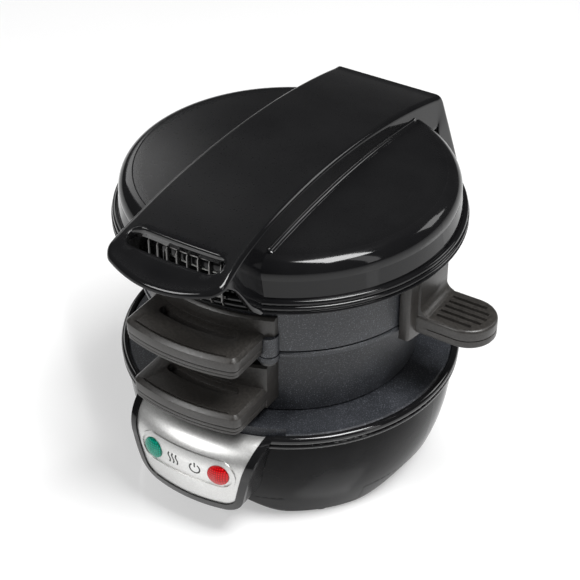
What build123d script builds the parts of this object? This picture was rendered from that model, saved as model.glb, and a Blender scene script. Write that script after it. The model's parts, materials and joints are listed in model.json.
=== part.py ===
from build123d import *
import os
from math import asin, cos, degrees, radians, sin, sqrt

# Breakfast sandwich maker: a round base with a hot plate and two indicator lights, two hinged
# cooking rings with a swing-out plate between them, and a domed cover with a hot plate inside.
# Millimetres, +Z up, front towards -Y. Everything is modelled about the axis of the rings and
# moved at the end, so that the origin lies on the table under the middle of the whole object.

os.makedirs("parts", exist_ok=True)

# ------------------------------------------------------------------ driving dimensions
# heights of the cooking stack, from the table up
PLATE_TOP = 53.3            # face of the lower hot plate
LOWER_RING_H = 33.7         # height of the lower ring
COOK_PLATE_T = 2.4          # thickness of the swing-out plate
UPPER_RING_H = 27.7         # height of the upper ring
STACK_GAP = 0.3             # air between stacked castings
COVER_GAP = 0.4             # air between the upper ring and the cover's hot plate
COVER_OVERLAP = 1.6         # how far the cover's rim reaches down over the upper ring

# radii about the ring axis, from the bore outwards
BORE_R = 51.5               # clear bore of both rings, for a 100 mm muffin
LOWER_RING_WALL = 4.0
UPPER_RING_FLARE = 12.0     # upper ring beyond the bore
UPPER_RING_WALL = 2.6
COOK_PLATE_PROUD = 0.3      # swing-out plate beyond the upper ring
RIM_OVERHANG = 10.5         # beads of base and cover beyond the upper ring
BASE_BEAD_PROUD = 2.6       # bead of the base beyond the wall below it
BASE_TAPER = 10.9           # narrowing of the base wall down to the table
HOT_PLATE_SETBACK = 0.8     # edge of the hot plate inside the base wall
COVER_BEAD_PROUD = 3.0      # bead of the cover beyond the wall above it
SHOULDER_SETBACK = 7.0      # shoulder line of the cover inside its wall

# base
BASE_WALL_T = 2.5
BEAD_H = 5.5                # hot plate's face above the base wall
BASE_BELLY_SETBACK = 3.4    # base wall at half height, inside its top
BASE_BELLY_Z = 20.0
FLOOR_RING_Z = 13.6         # underside of the moulded floor, also the top of the foot arches
FLOOR_RING_T = 2.2
FOOT_DEPTH = 10.5           # feet from their outer to their inner face
FOOT_HALF_ANGLE = 15.0
RUBBER_PROUD = 1.5          # rubber feet below the moulded feet

# control panel
CHIN_PROUD = 9.2            # fullest line of the chin beyond the beads
PANEL_TOP_HALF_W = 32.5
PANEL_BOTTOM_HALF_W = 24.0
PANEL_BOTTOM_Z = 17.5
BEZEL_W = 3.3
LENS_X = 16.2
LENS_Z = 37.7
LENS_R = 4.7

# handles
UPPER_HANDLE_REACH = 22.0   # front handle beyond the upper ring
HANDLE_STAGGER = 1.8        # the lower front handle behind the upper one
UPPER_HANDLE_RISE = 10.7    # top of each front handle above the underside of its ring
LOWER_HANDLE_RISE = 17.4
UPPER_HANDLE_HALF_W = 26.3
LOWER_HANDLE_HALF_W = 25.3
FRONT_HANDLE_T = 9.9
SIDE_HANDLE_LENGTH = 32.2   # beyond the edge of the swing-out plate
SIDE_HANDLE_HALF_W = 12.0
SIDE_HANDLE_RISE = 5.0      # its top above the swing-out plate
SIDE_HANDLE_T = 8.6

# cover
COVER_WALL_T = 2.4
DOME_RISE = 25.1            # dome centre above the cover's rim
SHOULDER_RISE = 21.2        # bright shoulder line above the cover's rim
STRAP_RISE = 34.1           # highest point of the strap above the cover's rim
STRAP_HALF_W = 24.5         # at its highest point
STRAP_DRAFT = 0.18          # widening of the strap per millimetre down
STRAP_TOP_R = 380.0         # long arc of the strap's top, in side view
STRAP_CREST_Y = -13.2
STRAP_BROW_Y = -40.0        # in front of this the top rolls down more tightly
STRAP_BROW_R = 206.0
LIP_REACH = 23.0            # front lip of the strap beyond the beads
LIP_ROOT_T = 3.62844        # thickness of the strap where its lip begins
LIP_EDGE_T = 1.19742        # and at the end of its side view, just beyond the lip

# hinges
HINGE_REACH = 10.0          # hinge axis behind the beads
HINGE_RISE = 1.7            # hinge axis above the underside of the upper ring
KNUCKLE_R = 7.0
PIN_R = 2.5
RUN_CLEAR = 0.06            # radial clearance of a bore that turns on a pin
SIDE_CLEAR = 0.6            # air between neighbouring knuckles
PIVOT_ANGLE = 24.15         # swing axis of the cooking plate, from the front towards the right
PIVOT_PIN_R = 2.0
SEAT = 0.15                 # gap between pieces that are fixed together
FAR = 200.0                 # beyond every piece, for cuts

# ------------------------------------------------------------------ derived sizes
LOWER_RING_Z = PLATE_TOP + STACK_GAP
LOWER_RING_TOP = LOWER_RING_Z + LOWER_RING_H
COOK_PLATE_Z = LOWER_RING_TOP + STACK_GAP
UPPER_RING_Z = COOK_PLATE_Z + COOK_PLATE_T + STACK_GAP
UPPER_RING_TOP = UPPER_RING_Z + UPPER_RING_H
COVER_PLATE_Z = UPPER_RING_TOP + COVER_GAP
COVER_RIM_Z = UPPER_RING_TOP - COVER_OVERLAP
BASE_WALL_TOP = PLATE_TOP - BEAD_H
HINGE_Z = UPPER_RING_Z + HINGE_RISE
UPPER_HANDLE_TOP = UPPER_RING_Z + UPPER_HANDLE_RISE
LOWER_HANDLE_TOP = LOWER_RING_Z + LOWER_HANDLE_RISE
SIDE_HANDLE_TOP = COOK_PLATE_Z + COOK_PLATE_T + SIDE_HANDLE_RISE

LOWER_RING_R = BORE_R + LOWER_RING_WALL
UPPER_RING_R = BORE_R + UPPER_RING_FLARE
COOK_PLATE_R = UPPER_RING_R + COOK_PLATE_PROUD
RIM_R = UPPER_RING_R + RIM_OVERHANG
BASE_WALL_R = RIM_R - BASE_BEAD_PROUD
BASE_BELLY_R = BASE_WALL_R - BASE_BELLY_SETBACK
BASE_FOOT_R = BASE_WALL_R - BASE_TAPER
FOOT_INNER_R = BASE_FOOT_R - FOOT_DEPTH
HOT_PLATE_R = BASE_WALL_R - HOT_PLATE_SETBACK
COVER_WALL_R = RIM_R - COVER_BEAD_PROUD
COVER_SHOULDER_R = COVER_WALL_R - SHOULDER_SETBACK
PANEL_R = RIM_R + CHIN_PROUD
UPPER_HANDLE_R = UPPER_RING_R + UPPER_HANDLE_REACH
LOWER_HANDLE_R = UPPER_HANDLE_R - HANDLE_STAGGER
SIDE_HANDLE_REACH = COOK_PLATE_R + SIDE_HANDLE_LENGTH
STRAP_FRONT_Y = -RIM_R - LIP_REACH
HINGE_Y = RIM_R + HINGE_REACH
REAR_Y = HINGE_Y + KNUCKLE_R
PIVOT_X = UPPER_RING_R * sin(radians(PIVOT_ANGLE))
PIVOT_Y = -UPPER_RING_R * cos(radians(PIVOT_ANGLE))


# smaller fits and details
HOT_PLATE_T = 3.2           # both hot plates at their edge
EDGE_GAP = 0.4              # air round the edge of a hot plate
FIT_CLEAR = 0.01            # radial clearance of a fixed pin
FLOOR_OPEN_R = FOOT_INNER_R - 4.0
BOTTOM_SCREW_R = FLOOR_OPEN_R - 3.0
BOTTOM_COVER_TOP = FLOOR_RING_Z - SEAT
FOOT_ANGLES = (45.0, 135.0, 225.0, 315.0)
FOOT_PAD_RING_R = BASE_FOOT_R - 5.5
FOOT_PAD_R = 4.8
FOOT_STEM_R = 1.8
CHIN_WALL = 2.2
CHIN_TOP = PLATE_TOP - 0.5
PANEL_BOW = 1.2
PANEL_CORNER_R = 10.0
PANEL_SINK = 0.6            # panel face below the bezel's face
PANEL_GAP = 0.1
BEZEL_T = 1.8
CHIN_INNER_R = PANEL_R - BEZEL_T - CHIN_WALL
PILL_HALF_H = 7.4
LENS_SETBACK = 3.3          # lens flange behind the inside of the chin
LAMP_R = 2.7
LAMP_BOARD_HALF_H = 7.0
LAMP_BOARD_R = CHIN_INNER_R - 8.0
SADDLE_Z = HINGE_Z - 18.0   # top of the spine between the hinge ears
GLAND_Z = SADDLE_Z - 14.0
GLAND_R = 4.5
GLAND_BORE_R = 3.3
GLAND_FLANGE_T = 1.4
TOWER_SCREW_Z = BASE_WALL_TOP - 9.8
TOWER_BOSS_Y = BASE_WALL_R - 9.4
PLATE_POST_R = HOT_PLATE_R - 12.0
SHIELD_SEAT_Z = PLATE_TOP - 10.5
ELEMENT_R = 3.2
ELEMENT_RING_R = PLATE_POST_R - 18.6
TERMINAL_Y = ELEMENT_RING_R - 14.0
TERMINAL_HALF_T = 6.0
TERMINAL_EXIT = 6.3         # wires end this far from its middle
SPLASH_LIP_H = 3.2
SPLASH_LIP_ANGLE = 30.5
TAB_HALF_W = 15.0
TAB_T = 3.0
TAB_SETBACK = 9.5           # end of the ring's tongue behind the front of its handle
UPPER_TAB_REACH = UPPER_HANDLE_R - TAB_SETBACK
LOWER_TAB_REACH = LOWER_HANDLE_R - TAB_SETBACK - 2.2
UPPER_TAB_Z = UPPER_HANDLE_TOP - FRONT_HANDLE_T + 3.0
LOWER_TAB_Z = LOWER_HANDLE_TOP - FRONT_HANDLE_T + 3.0
UPPER_COLLAR_T = 2.4
UPPER_COLLAR_TOP = UPPER_HANDLE_TOP + 7.0
LOWER_COLLAR_T = 7.9
LOWER_COLLAR_TOP = LOWER_RING_TOP - 5.2
PIVOT_BOSS_R = 4.3
PIVOT_BOSS_H = 9.0
PIVOT_EAR_R = 4.6
SIDE_TAB_REACH = SIDE_HANDLE_REACH - 12.0
SIDE_TAB_HALF_W = 7.5
SIDE_SCREWS = [(SIDE_TAB_REACH - 10.0, 0.0), (SIDE_TAB_REACH - 3.5, 0.0)]
SIDE_COLLAR_R = COOK_PLATE_R + 4.4
SIDE_COLLAR_TOP = COVER_RIM_Z - 3.9
TRIM_H = 1.4
STRAP_EDGE_R = 2.2
STRAP_WALL = 2.6
LEG_FRONT_Y = RIM_R + 2.0
LEG_LOW_Z = HINGE_Z + 12.5
BRACKET_TOP = LEG_LOW_Z + 2.6
BRACKET_SCREWS = [(-24.5, HINGE_Y - 0.8), (24.5, HINGE_Y - 0.8)]
WIRE_RISER_Y = HINGE_Y - 3.0
LIP_HALF_W = 27.2           # plan of the front lip: half width, drop at the corners, corner radius
LIP_BOW = 5.6
LIP_CORNER_R = 3.5
SLOT_W = 12.2
SLOT_HALF_LEN = 22.6
SLOT_SETBACK = 15.4         # middle of the steam slot behind the lip
SLOT_BOW_R = 110.0          # plan radius of the slot's middle line
SLOT_SKIRT_T = 1.5
SLOT_SKIRT_Z = COVER_RIM_Z + 22.6
COMB_FINS = 8
COMB_FIN_T = 1.1
COMB_DEPTH = 2.0
COMB_ANGLE = 11.6           # half the angle that the fins span
COMB_TOP = SLOT_SKIRT_Z - 0.4
UPPER_PLATE_R = UPPER_RING_R - 1.7
LINER_SCREW_R = (UPPER_PLATE_R + EDGE_GAP + COVER_WALL_R - COVER_WALL_T) / 2 + 0.7
LINER_TOP = COVER_PLATE_Z + 2.0
UPPER_POST_R = UPPER_PLATE_R - 7.8
UPPER_ELEMENT_RING_R = UPPER_POST_R - 16.0
UPPER_SHIELD_Z = LINER_TOP + 6.4
WIRE_Z = UPPER_SHIELD_Z + 5.6
STRAP_SCREWS = [(0.0, -35.0), (0.0, 35.0)]

# knuckles along the hinge pin, from the middle outwards
LOWER_ARM_HALF = 6.2
UPPER_ARM_IN = LOWER_ARM_HALF + SIDE_CLEAR
UPPER_ARM_OUT = UPPER_ARM_IN + 5.4
COVER_KNUCKLE_IN = UPPER_ARM_OUT + SIDE_CLEAR
COVER_KNUCKLE_OUT = COVER_KNUCKLE_IN + 6.0
EAR_IN = COVER_KNUCKLE_OUT + SIDE_CLEAR
EAR_OUT = EAR_IN + 6.2
TOWER_SCREW_X = (EAR_IN + EAR_OUT) / 2


# ------------------------------------------------------------------ helpers
def outline(*points):
    """Closed flat face through 2-D points; a step given as (via, end) is an arc."""
    edges, here = [], points[0]
    for step in list(points[1:]) + [points[0]]:
        if isinstance(step[0], tuple):
            via, end = step
            edges.append(ThreePointArc(here, via, end))
        else:
            end = step
            if end != here:
                edges.append(Line(here, end))
        here = end
    return make_face(edges)


def dome(r_edge, z_edge, z_top):
    """Last step of a turned outline: a spherical cap from its edge up to the axis."""
    rise = z_top - z_edge
    ball_r = (r_edge ** 2 + rise ** 2) / (2 * rise)
    half = r_edge / 2
    return ((half, z_top - ball_r + sqrt(ball_r ** 2 - half ** 2)), (0, z_top))


def turned(*points):
    """Solid of revolution about the ring axis from an outline in (radius, height)."""
    return revolve(Plane.XZ * outline(*points), Axis.Z)


def across(face_points, x0, x1):
    """Outline in (y, z) made into a slab from x0 to x1."""
    slab = extrude(Plane.YZ * outline(*face_points), amount=x1 - x0)
    return Pos(x0, 0, 0) * slab


def tube(r, z0, z1, r_in=0.0, at=(0, 0)):
    """Upright cylinder or tube."""
    upright = (Align.CENTER, Align.CENTER, Align.MIN)
    body = Cylinder(r, z1 - z0, align=upright)
    if r_in:
        body -= Cylinder(r_in, z1 - z0, align=upright)
    return Pos(at[0], at[1], z0) * body


def rod(r, x0, x1, y, z):
    """Round bar along X."""
    lying = Plane(origin=(x0, y, z), z_dir=(1, 0, 0))
    return extrude(lying * Circle(r), amount=x1 - x0)


def rod_y(r, y0, y1, x, z):
    """Round bar along Y."""
    lying = Plane(origin=(x, y0, z), z_dir=(0, 1, 0))
    return extrude(lying * Circle(r), amount=y1 - y0)


def block(x0, x1, y0, y1, z0, z1):
    """Upright box between two corners."""
    corner = (Align.MIN, Align.MIN, Align.MIN)
    return Pos(x0, y0, z0) * Box(x1 - x0, y1 - y0, z1 - z0, align=corner)


def polar(r, angle):
    """Point at an angle counted from the front towards the right."""
    return (r * sin(radians(angle)), -r * cos(radians(angle)))


def wedge(a0, a1, z0, z1, reach=FAR):
    """Pie slice between two angles counted from the front towards the right."""
    mid = polar(reach, (a0 + a1) / 2)
    slice_face = outline((0, 0), polar(reach, a0), (mid, polar(reach, a1)))
    return Pos(0, 0, z0) * extrude(slice_face, amount=z1 - z0)


def arc_band(r0, r1, half_len, z0, z1):
    """Curved bar between two radii at the front, with round ends."""
    mid_r, half_t = (r0 + r1) / 2, (r1 - r0) / 2
    end_x = half_len - half_t
    end_angle = degrees(asin(end_x / mid_r))
    bar = tube(r1, z0, z1, r0) & wedge(-end_angle, end_angle, z0, z1)
    for side in (-1, 1):
        bar += tube(half_t, z0, z1, at=polar(mid_r, side * end_angle))
    return bar


def both_sides(body):
    """A piece and its mirror image on the other side of the object."""
    return body + mirror(body, Plane.YZ)


def group_of(bodies):
    """Several equal loose pieces as one group."""
    return Compound([solid for body in bodies for solid in body.solids()])


NODES = {}


def node(name, body):
    """File a finished piece under its name."""
    NODES[name] = body
    return body


# ------------------------------------------------------------------ base
def base_wall(inset=0.0):
    """Bowl of the base as a full solid, or smaller by a wall."""
    return turned(
        (0, RUBBER_PROUD), (BASE_FOOT_R - inset, RUBBER_PROUD),
        ((BASE_BELLY_R - inset, BASE_BELLY_Z), (BASE_WALL_R - inset, BASE_WALL_TOP)),
        (0, BASE_WALL_TOP),
    )


def chin_outline(inset):
    """Front outline of the chin: a tapered shield with round lower corners."""
    top, bottom = PLATE_TOP + 8.0, PANEL_BOTTOM_Z + inset
    slope = (PANEL_TOP_HALF_W - PANEL_BOTTOM_HALF_W) / (PLATE_TOP - PANEL_BOTTOM_Z)
    wide = PANEL_TOP_HALF_W + slope * (top - PLATE_TOP) - inset
    narrow = PANEL_BOTTOM_HALF_W + slope * inset - inset
    face = outline((-wide, top), (-narrow, bottom), ((0, bottom - PANEL_BOW), (narrow, bottom)),
                   (wide, top))
    low = face.vertices().sort_by(Axis.Y)[0:2]
    return fillet(low, PANEL_CORNER_R - inset)


def chin_shape(inset, depth):
    """Solid chin: its outline cut from a turned body, with the face set back by a depth."""
    r = PANEL_R - depth
    top = CHIN_TOP - depth
    low = PANEL_BOTTOM_Z - 5.0
    inner = FLOOR_OPEN_R - 6.0
    body = turned(
        (inner, low), (r - 4.4, low), ((r - 1.0, LENS_Z - 11.0), (r, LENS_Z)),
        ((r - 2.2, top - 5.6), (HOT_PLATE_R + EDGE_GAP, top)), (inner, top),
    )
    body = body & extrude(Plane.XZ * chin_outline(inset), amount=FAR)
    return body - tube(HOT_PLATE_R + EDGE_GAP, BASE_WALL_TOP, FAR)


def feet_only(body):
    """What of a body lies within the four feet."""
    parts = [body & wedge(a - FOOT_HALF_ANGLE, a + FOOT_HALF_ANGLE, -1, FAR) for a in FOOT_ANGLES]
    return parts[0] + parts[1] + parts[2] + parts[3]


def make_hinge_tower():
    """Rear spine with two ears that carry the hinge pin, screwed to the base from inside."""
    front = RIM_R + 1.0
    inner = BASE_WALL_R - 3.5
    spine = across(
        [(inner, 24.0), (REAR_Y - 9.0, 27.0), ((REAR_Y - 2.0, 37.0), (REAR_Y, 50.0)),
         (REAR_Y, SADDLE_Z), (front, SADDLE_Z), (front, BASE_WALL_TOP), (inner, BASE_WALL_TOP)],
        -EAR_OUT, EAR_OUT,
    )
    ear = across(
        [(front, SADDLE_Z - 1), (REAR_Y, SADDLE_Z - 1), (REAR_Y, HINGE_Z), (HINGE_Y - KNUCKLE_R, HINGE_Z)],
        EAR_IN, EAR_OUT,
    )
    ear += rod(KNUCKLE_R, EAR_IN, EAR_OUT, HINGE_Y, HINGE_Z)
    body = spine + both_sides(ear)
    body -= rod(PIN_R + FIT_CLEAR, -EAR_OUT - 1, EAR_OUT + 1, HINGE_Y, HINGE_Z)
    wire_duct = across(
        [(inner - 1, 30.0), (REAR_Y - 8.0, 32.0), (REAR_Y - 3.0, 50.0), (REAR_Y - 3.0, SADDLE_Z - 3),
         (front + 3.0, SADDLE_Z - 3), (front + 3.0, BASE_WALL_TOP - 3), (inner - 1, BASE_WALL_TOP - 3)],
        -EAR_IN, EAR_IN,
    )
    body -= wire_duct
    body -= rod_y(GLAND_R + FIT_CLEAR, REAR_Y - 5, REAR_Y + 5, 0, GLAND_Z)
    for side in (-1, 1):
        body -= rod_y(1.3, TOWER_BOSS_Y, BASE_WALL_R + 6.0, side * TOWER_SCREW_X, TOWER_SCREW_Z)
    return body - base_wall(-SEAT)


def plate_posts():
    """Places of the three posts under the lower hot plate."""
    return [polar(PLATE_POST_R, a) for a in (78.0, 180.0, 282.0)]


def cover_plate_posts():
    """Places of the four bosses that take the bottom cover's screws."""
    return [polar(BOTTOM_SCREW_R, a) for a in (0.0, 90.0, 180.0, 270.0)]


def make_base_housing():
    shell = base_wall() - base_wall(BASE_WALL_T)
    skirt = shell & tube(FAR, 0, FLOOR_RING_Z)
    feet = tube(BASE_WALL_R, RUBBER_PROUD, FLOOR_RING_Z, FOOT_INNER_R) & base_wall(BASE_WALL_T / 2)
    foot_hollow = tube(BASE_WALL_R, RUBBER_PROUD + 2.5, FLOOR_RING_Z, FOOT_INNER_R + 2.0)
    foot_hollow = foot_hollow & base_wall(BASE_WALL_T)
    for a in FOOT_ANGLES:
        feet -= foot_hollow & wedge(a - FOOT_HALF_ANGLE + 2.4, a + FOOT_HALF_ANGLE - 2.4, 0, FAR)
        feet -= tube(FOOT_STEM_R + SEAT, 0, 8, at=polar(FOOT_PAD_RING_R, a))
    floor = tube(BASE_WALL_R, FLOOR_RING_Z, FLOOR_RING_Z + FLOOR_RING_T, FLOOR_OPEN_R)
    body = (shell - tube(FAR, 0, FLOOR_RING_Z)) + (floor & base_wall(BASE_WALL_T / 2))
    body += feet_only(skirt + feet)
    body += chin_shape(0.0, BEZEL_T + SEAT) - base_wall(BASE_WALL_T)
    body -= chin_shape(CHIN_WALL, BEZEL_T + SEAT + CHIN_WALL)
    for side in (-1, 1):
        body -= lens_axis(side) * tube(LENS_R + SEAT, LAMP_BOARD_R, PANEL_R + 5)
        at = (side * TOWER_SCREW_X, TOWER_SCREW_Z)
        body += rod_y(3.8, TOWER_BOSS_Y, BASE_WALL_R, *at) & base_wall(1.0)
        body -= rod_y(1.6, TOWER_BOSS_Y - 1, BASE_WALL_R + 1, *at)
    body -= wire_passage()
    shelf_top = LENS_Z - LAMP_BOARD_HALF_H - SEAT
    shelf = tube(CHIN_INNER_R, shelf_top - 2.0, shelf_top, BASE_WALL_R - 6.0)
    body += shelf & wedge(-15, 15, 0, FAR)
    for at in plate_posts():
        post = tube(4.2, FLOOR_RING_Z, SHIELD_SEAT_Z, at=at) & base_wall(1.0)
        body += post - tube(1.7, 0, FAR, at=at) - tube(3.3, 0, SHIELD_SEAT_Z - 7.0, at=at)
        body -= tube(3.3, 0, FLOOR_RING_Z + 5, at=at)
    for at in cover_plate_posts():
        body += tube(3.8, FLOOR_RING_Z, FLOOR_RING_Z + 9.0, at=at)
        body -= tube(1.3, 0, FLOOR_RING_Z + 8.0, at=at)
    return body


def wire_passage():
    """Opening from the bowl into the rear spine."""
    return block(4.8, 14, BASE_WALL_R - 8, BASE_WALL_R + 1.5, 31, BASE_WALL_TOP - 4)


def lens_axis(side):
    """Frame whose Z axis points outwards through the middle of a lens."""
    angle = degrees(asin(LENS_X / PANEL_R)) * side
    x, y = polar(1.0, angle)
    return Plane(origin=(0, 0, LENS_Z), z_dir=(x, y, 0))


def make_rim_ring():
    low = BASE_WALL_TOP + SEAT
    bead = turned(
        (BASE_WALL_R - 2.4, low), (RIM_R - 1.1, low), ((RIM_R - 0.2, low + 1.2), (RIM_R - 1.0, low + 2.3)),
        ((RIM_R, low + 4.2), (RIM_R - 1.5, low + 5.8)), (HOT_PLATE_R + EDGE_GAP + 0.5, low + 5.8),
        (HOT_PLATE_R + EDGE_GAP, low + 5.3), (HOT_PLATE_R + EDGE_GAP, PLATE_TOP - HOT_PLATE_T - SEAT),
        (BASE_WALL_R - 2.4, PLATE_TOP - HOT_PLATE_T - SEAT),
    )
    return bead - extrude(Plane.XZ * chin_outline(-SEAT), amount=FAR)


def make_bezel():
    frame = chin_shape(0.0, 0.0) - chin_shape(-1.0, BEZEL_T)
    return frame - extrude(Plane.XZ * chin_outline(BEZEL_W), amount=FAR)


def pill(half_h):
    """Long rounded frame outline round both lenses."""
    return Pos(0, LENS_Z) * SlotCenterToCenter(2 * LENS_X, 2 * half_h)


def make_panel():
    inset = BEZEL_W + PANEL_GAP
    plate = chin_shape(inset, PANEL_SINK) - chin_shape(inset - 1.0, BEZEL_T)
    raised = chin_shape(inset, PANEL_SINK - 0.55) - chin_shape(inset - 1.0, PANEL_SINK + 0.3)
    frame = extrude(Plane.XZ * (pill(PILL_HALF_H) - pill(PILL_HALF_H - 1.2)), amount=FAR)
    plate += raised & frame
    for side in (-1, 1):
        plate -= lens_axis(side) * tube(LENS_R + SEAT, LAMP_BOARD_R, PANEL_R + 5)
    return plate


def make_lens(side):
    face = PANEL_R - PANEL_SINK
    back = CHIN_INNER_R - LENS_SETBACK
    crown = revolve(
        Plane.XZ * outline((0, back - 1.8), (LENS_R + 1.2, back - 1.8), (LENS_R + 1.2, back), (LENS_R, back),
                           (LENS_R, face + 0.5), dome(LENS_R, face + 0.5, face + 1.9)),
        Axis.Z,
    )
    crown -= tube(LENS_R - 1.4, back - 2, face - 1.0)
    return lens_axis(side) * crown


def make_lamp_board():
    """Curved holder behind the panel with one socket for each lamp."""
    r = LAMP_BOARD_R
    board = tube(r, LENS_Z - LAMP_BOARD_HALF_H, LENS_Z + LAMP_BOARD_HALF_H, r - 1.8) & wedge(-17, 17, 0, FAR)
    for side in (-1, 1):
        board += lens_axis(side) * tube(LAMP_R + 1.0, r - 1.0, r + 2.6)
        board -= lens_axis(side) * tube(LAMP_R + SEAT, r - 6, r + 6)
    return board


def make_lamps():
    r = LAMP_BOARD_R
    lamps = []
    for side in (-1, 1):
        glass = tube(LAMP_R, r - 3.0, r + 4.4) + Pos(0, 0, r + 4.4) * Sphere(LAMP_R)
        leads = tube(0.4, r - 8.0, r - 2.9, at=(-1.2, 0)) + tube(0.4, r - 8.0, r - 2.9, at=(1.2, 0))
        lamps.append(lens_axis(side) * (glass + leads))
    return group_of(lamps)


def element(major_r, z, terminal_top, terminal_low, gap_mid):
    """Tubular heating element bent into an open ring with two upright cold ends."""
    ring = Pos(0, 0, z) * Torus(major_r, ELEMENT_R)
    half_gap = 24.0
    ring -= wedge(gap_mid - half_gap, gap_mid + half_gap, z - 10, z + 10)
    for side in (-1, 1):
        at = polar(major_r, gap_mid + side * half_gap)
        ring += Pos(at[0], at[1], z) * Sphere(ELEMENT_R)
        ring += tube(2.0, terminal_low, terminal_top, at=at)
    return ring


def make_lower_plate():
    edge_low = PLATE_TOP - HOT_PLATE_T
    plate = turned((0, edge_low), (HOT_PLATE_R, edge_low), (HOT_PLATE_R, PLATE_TOP - 0.6),
                   (HOT_PLATE_R - 0.6, PLATE_TOP), (0, PLATE_TOP))
    lip = tube(HOT_PLATE_R, PLATE_TOP - 0.7, PLATE_TOP + SPLASH_LIP_H, HOT_PLATE_R - 2.6)
    plate += lip & wedge(-SPLASH_LIP_ANGLE, SPLASH_LIP_ANGLE, 0, FAR)
    plate += tube(ELEMENT_RING_R + 6.0, edge_low - 4.0, edge_low, ELEMENT_RING_R - 6.0)
    plate -= Pos(0, 0, edge_low - 4.6) * Torus(ELEMENT_RING_R, ELEMENT_R + SEAT)
    for at in plate_posts():
        plate += tube(4.5, SHIELD_SEAT_Z + 0.9, edge_low, at=at)
        plate -= tube(1.4, SHIELD_SEAT_Z, edge_low - 1, at=at)
    return plate


def make_lower_shield():
    """Pressed dish under the element, clamped by its flange between posts and plate."""
    z = SHIELD_SEAT_Z + SEAT
    floor_r, flange_r, r_out = PLATE_POST_R - 8.6, PLATE_POST_R - 4.1, PLATE_POST_R - 0.1
    dish = turned((14.0, z - 10.0), (floor_r, z - 10.0), (flange_r, z), (r_out, z), (r_out, z + 0.6),
                  (flange_r - 0.5, z + 0.6), (floor_r - 0.4, z - 9.4), (14.0, z - 9.4))
    for at in plate_posts():
        dish -= tube(1.8, z - 2, z + 2, at=at)
    for side in (-1, 1):
        dish -= tube(3.6, z - 14, z - 5, at=polar(ELEMENT_RING_R, 180 + side * 24.0))
    return dish


def thermostat(face_z, up):
    """Snap-disc thermostat: cap against the plate, body, mounting ears and two blades."""
    s = 1 if up else -1
    cap = turned((0, 0), (8.0, 0), (8.0, 4.2), (6.8, 4.2), (6.8, 7.0), (0, 7.0))
    ears = block(-12, 12, -3, 3, 1.0, 1.9)
    body = cap + ears
    for side in (-1, 1):
        body += block(side * 3.5 - 0.4, side * 3.5 + 0.4, -2.2, 2.2, 6.9, 11.0)
    if not up:
        body = mirror(body, Plane.XY)
    return Pos(0, 0, face_z + s * SEAT) * body


def make_fuse():
    """Thermal cut-off lying against the underside of the lower plate, with its clip."""
    z = PLATE_TOP - HOT_PLATE_T - SEAT - 2.2
    capsule = rod(2.0, 17.0, 29.0, 0, z) + rod(0.6, 13.5, 32.5, 0, z)
    clip = block(21.0, 25.0, -3.0, 3.0, z - 2.8, z + 2.2) - block(20.5, 25.5, -2.3, 2.3, z - 1.9, z + 3.0)
    return capsule + clip


def make_terminal_block():
    z = BOTTOM_COVER_TOP + SEAT
    y = TERMINAL_Y
    body = block(-15, 15, y - TERMINAL_HALF_T, y + TERMINAL_HALF_T, z, z + 9.0)
    for i in range(3):
        x = -10.0 + 10.0 * i
        body -= Plane(origin=(x, y, z + 4.2), z_dir=(0, 1, 0)) * Cylinder(2.0, 60)
        body -= tube(2.2, z + 6.4, z + 12, at=(x, y))
    return body


def wire(points, r=1.1, bend=5.0):
    """Round wire along straight runs joined by arcs."""
    path = FilletPolyline(*points, radius=bend)
    start = Plane(origin=path @ 0, z_dir=path % 0)
    return sweep(start * Circle(r), path=path)


def make_base_wiring():
    z = BOTTOM_COVER_TOP + SEAT + 4.2
    low = SHIELD_SEAT_Z - 10.0
    rear_y, front_y = TERMINAL_Y + TERMINAL_EXIT, TERMINAL_Y - TERMINAL_EXIT
    lamp_y = 7.2 - LAMP_BOARD_R
    wires = []
    for side in (-1, 1):
        x, y = polar(ELEMENT_RING_R, 180 - side * 24.0)
        element_lead = [(x, y, low - 3.2), (x, y, z), (side * 10.0, y, z), (side * 10.0, rear_y, z)]
        wires.append(wire(element_lead, bend=3.0))
        lamp_lead = [(side * 10.0, front_y, z), (side * 10.0, front_y - 11.7, z), (side * 24.0, -20.0, z),
                     (side * 18.0, lamp_y + 14.0, z + 3.0), (side * 15.0, lamp_y, LENS_Z - 4.0)]
        wires.append(wire(lamp_lead))
    riser = [(0, rear_y, z), (9.0, rear_y + 11.7, z + 6.0), (9.0, HINGE_Y - 22.0, 37.0),
             (9.0, HINGE_Y - 4.0, 38.5), (2.0, HINGE_Y - 2.0, 56.0), (2.0, HINGE_Y - 2.0, SADDLE_Z - 4.0)]
    wires.append(wire(riser))
    return group_of(wires)


def make_bottom_cover():
    z0, z1 = BOTTOM_COVER_TOP - 2.2, BOTTOM_COVER_TOP
    plate = tube(FOOT_INNER_R - 0.6, z0, z1)
    for at in cover_plate_posts():
        plate -= tube(1.6, z0 - 1, z1 + 1, at=at)
    for i in range(12):
        plate -= Rot(0, 0, 30.0 * i + 15.0) * block(14, 30, -1.4, 1.4, z0 - 1, z1 + 1)
    return plate


def screws(places, head_z, length, head_r=2.8, shaft_r=1.25, up=True, head_h=1.6, slot=True):
    """A group of equal pan-head screws; the head lies below its seat when they point up."""
    group = []
    for x, y in places:
        screw = tube(head_r, -head_h, 0) + tube(shaft_r, 0, length)
        if slot:
            screw -= block(-head_r - 1, head_r + 1, -0.35, 0.35, -head_h - 1, -head_h + 0.7)
            screw -= block(-0.35, 0.35, -head_r - 1, head_r + 1, -head_h - 1, -head_h + 0.7)
        if not up:
            screw = mirror(screw, Plane.XY)
        group.append(Pos(x, y, head_z) * screw)
    return group_of(group)


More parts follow.
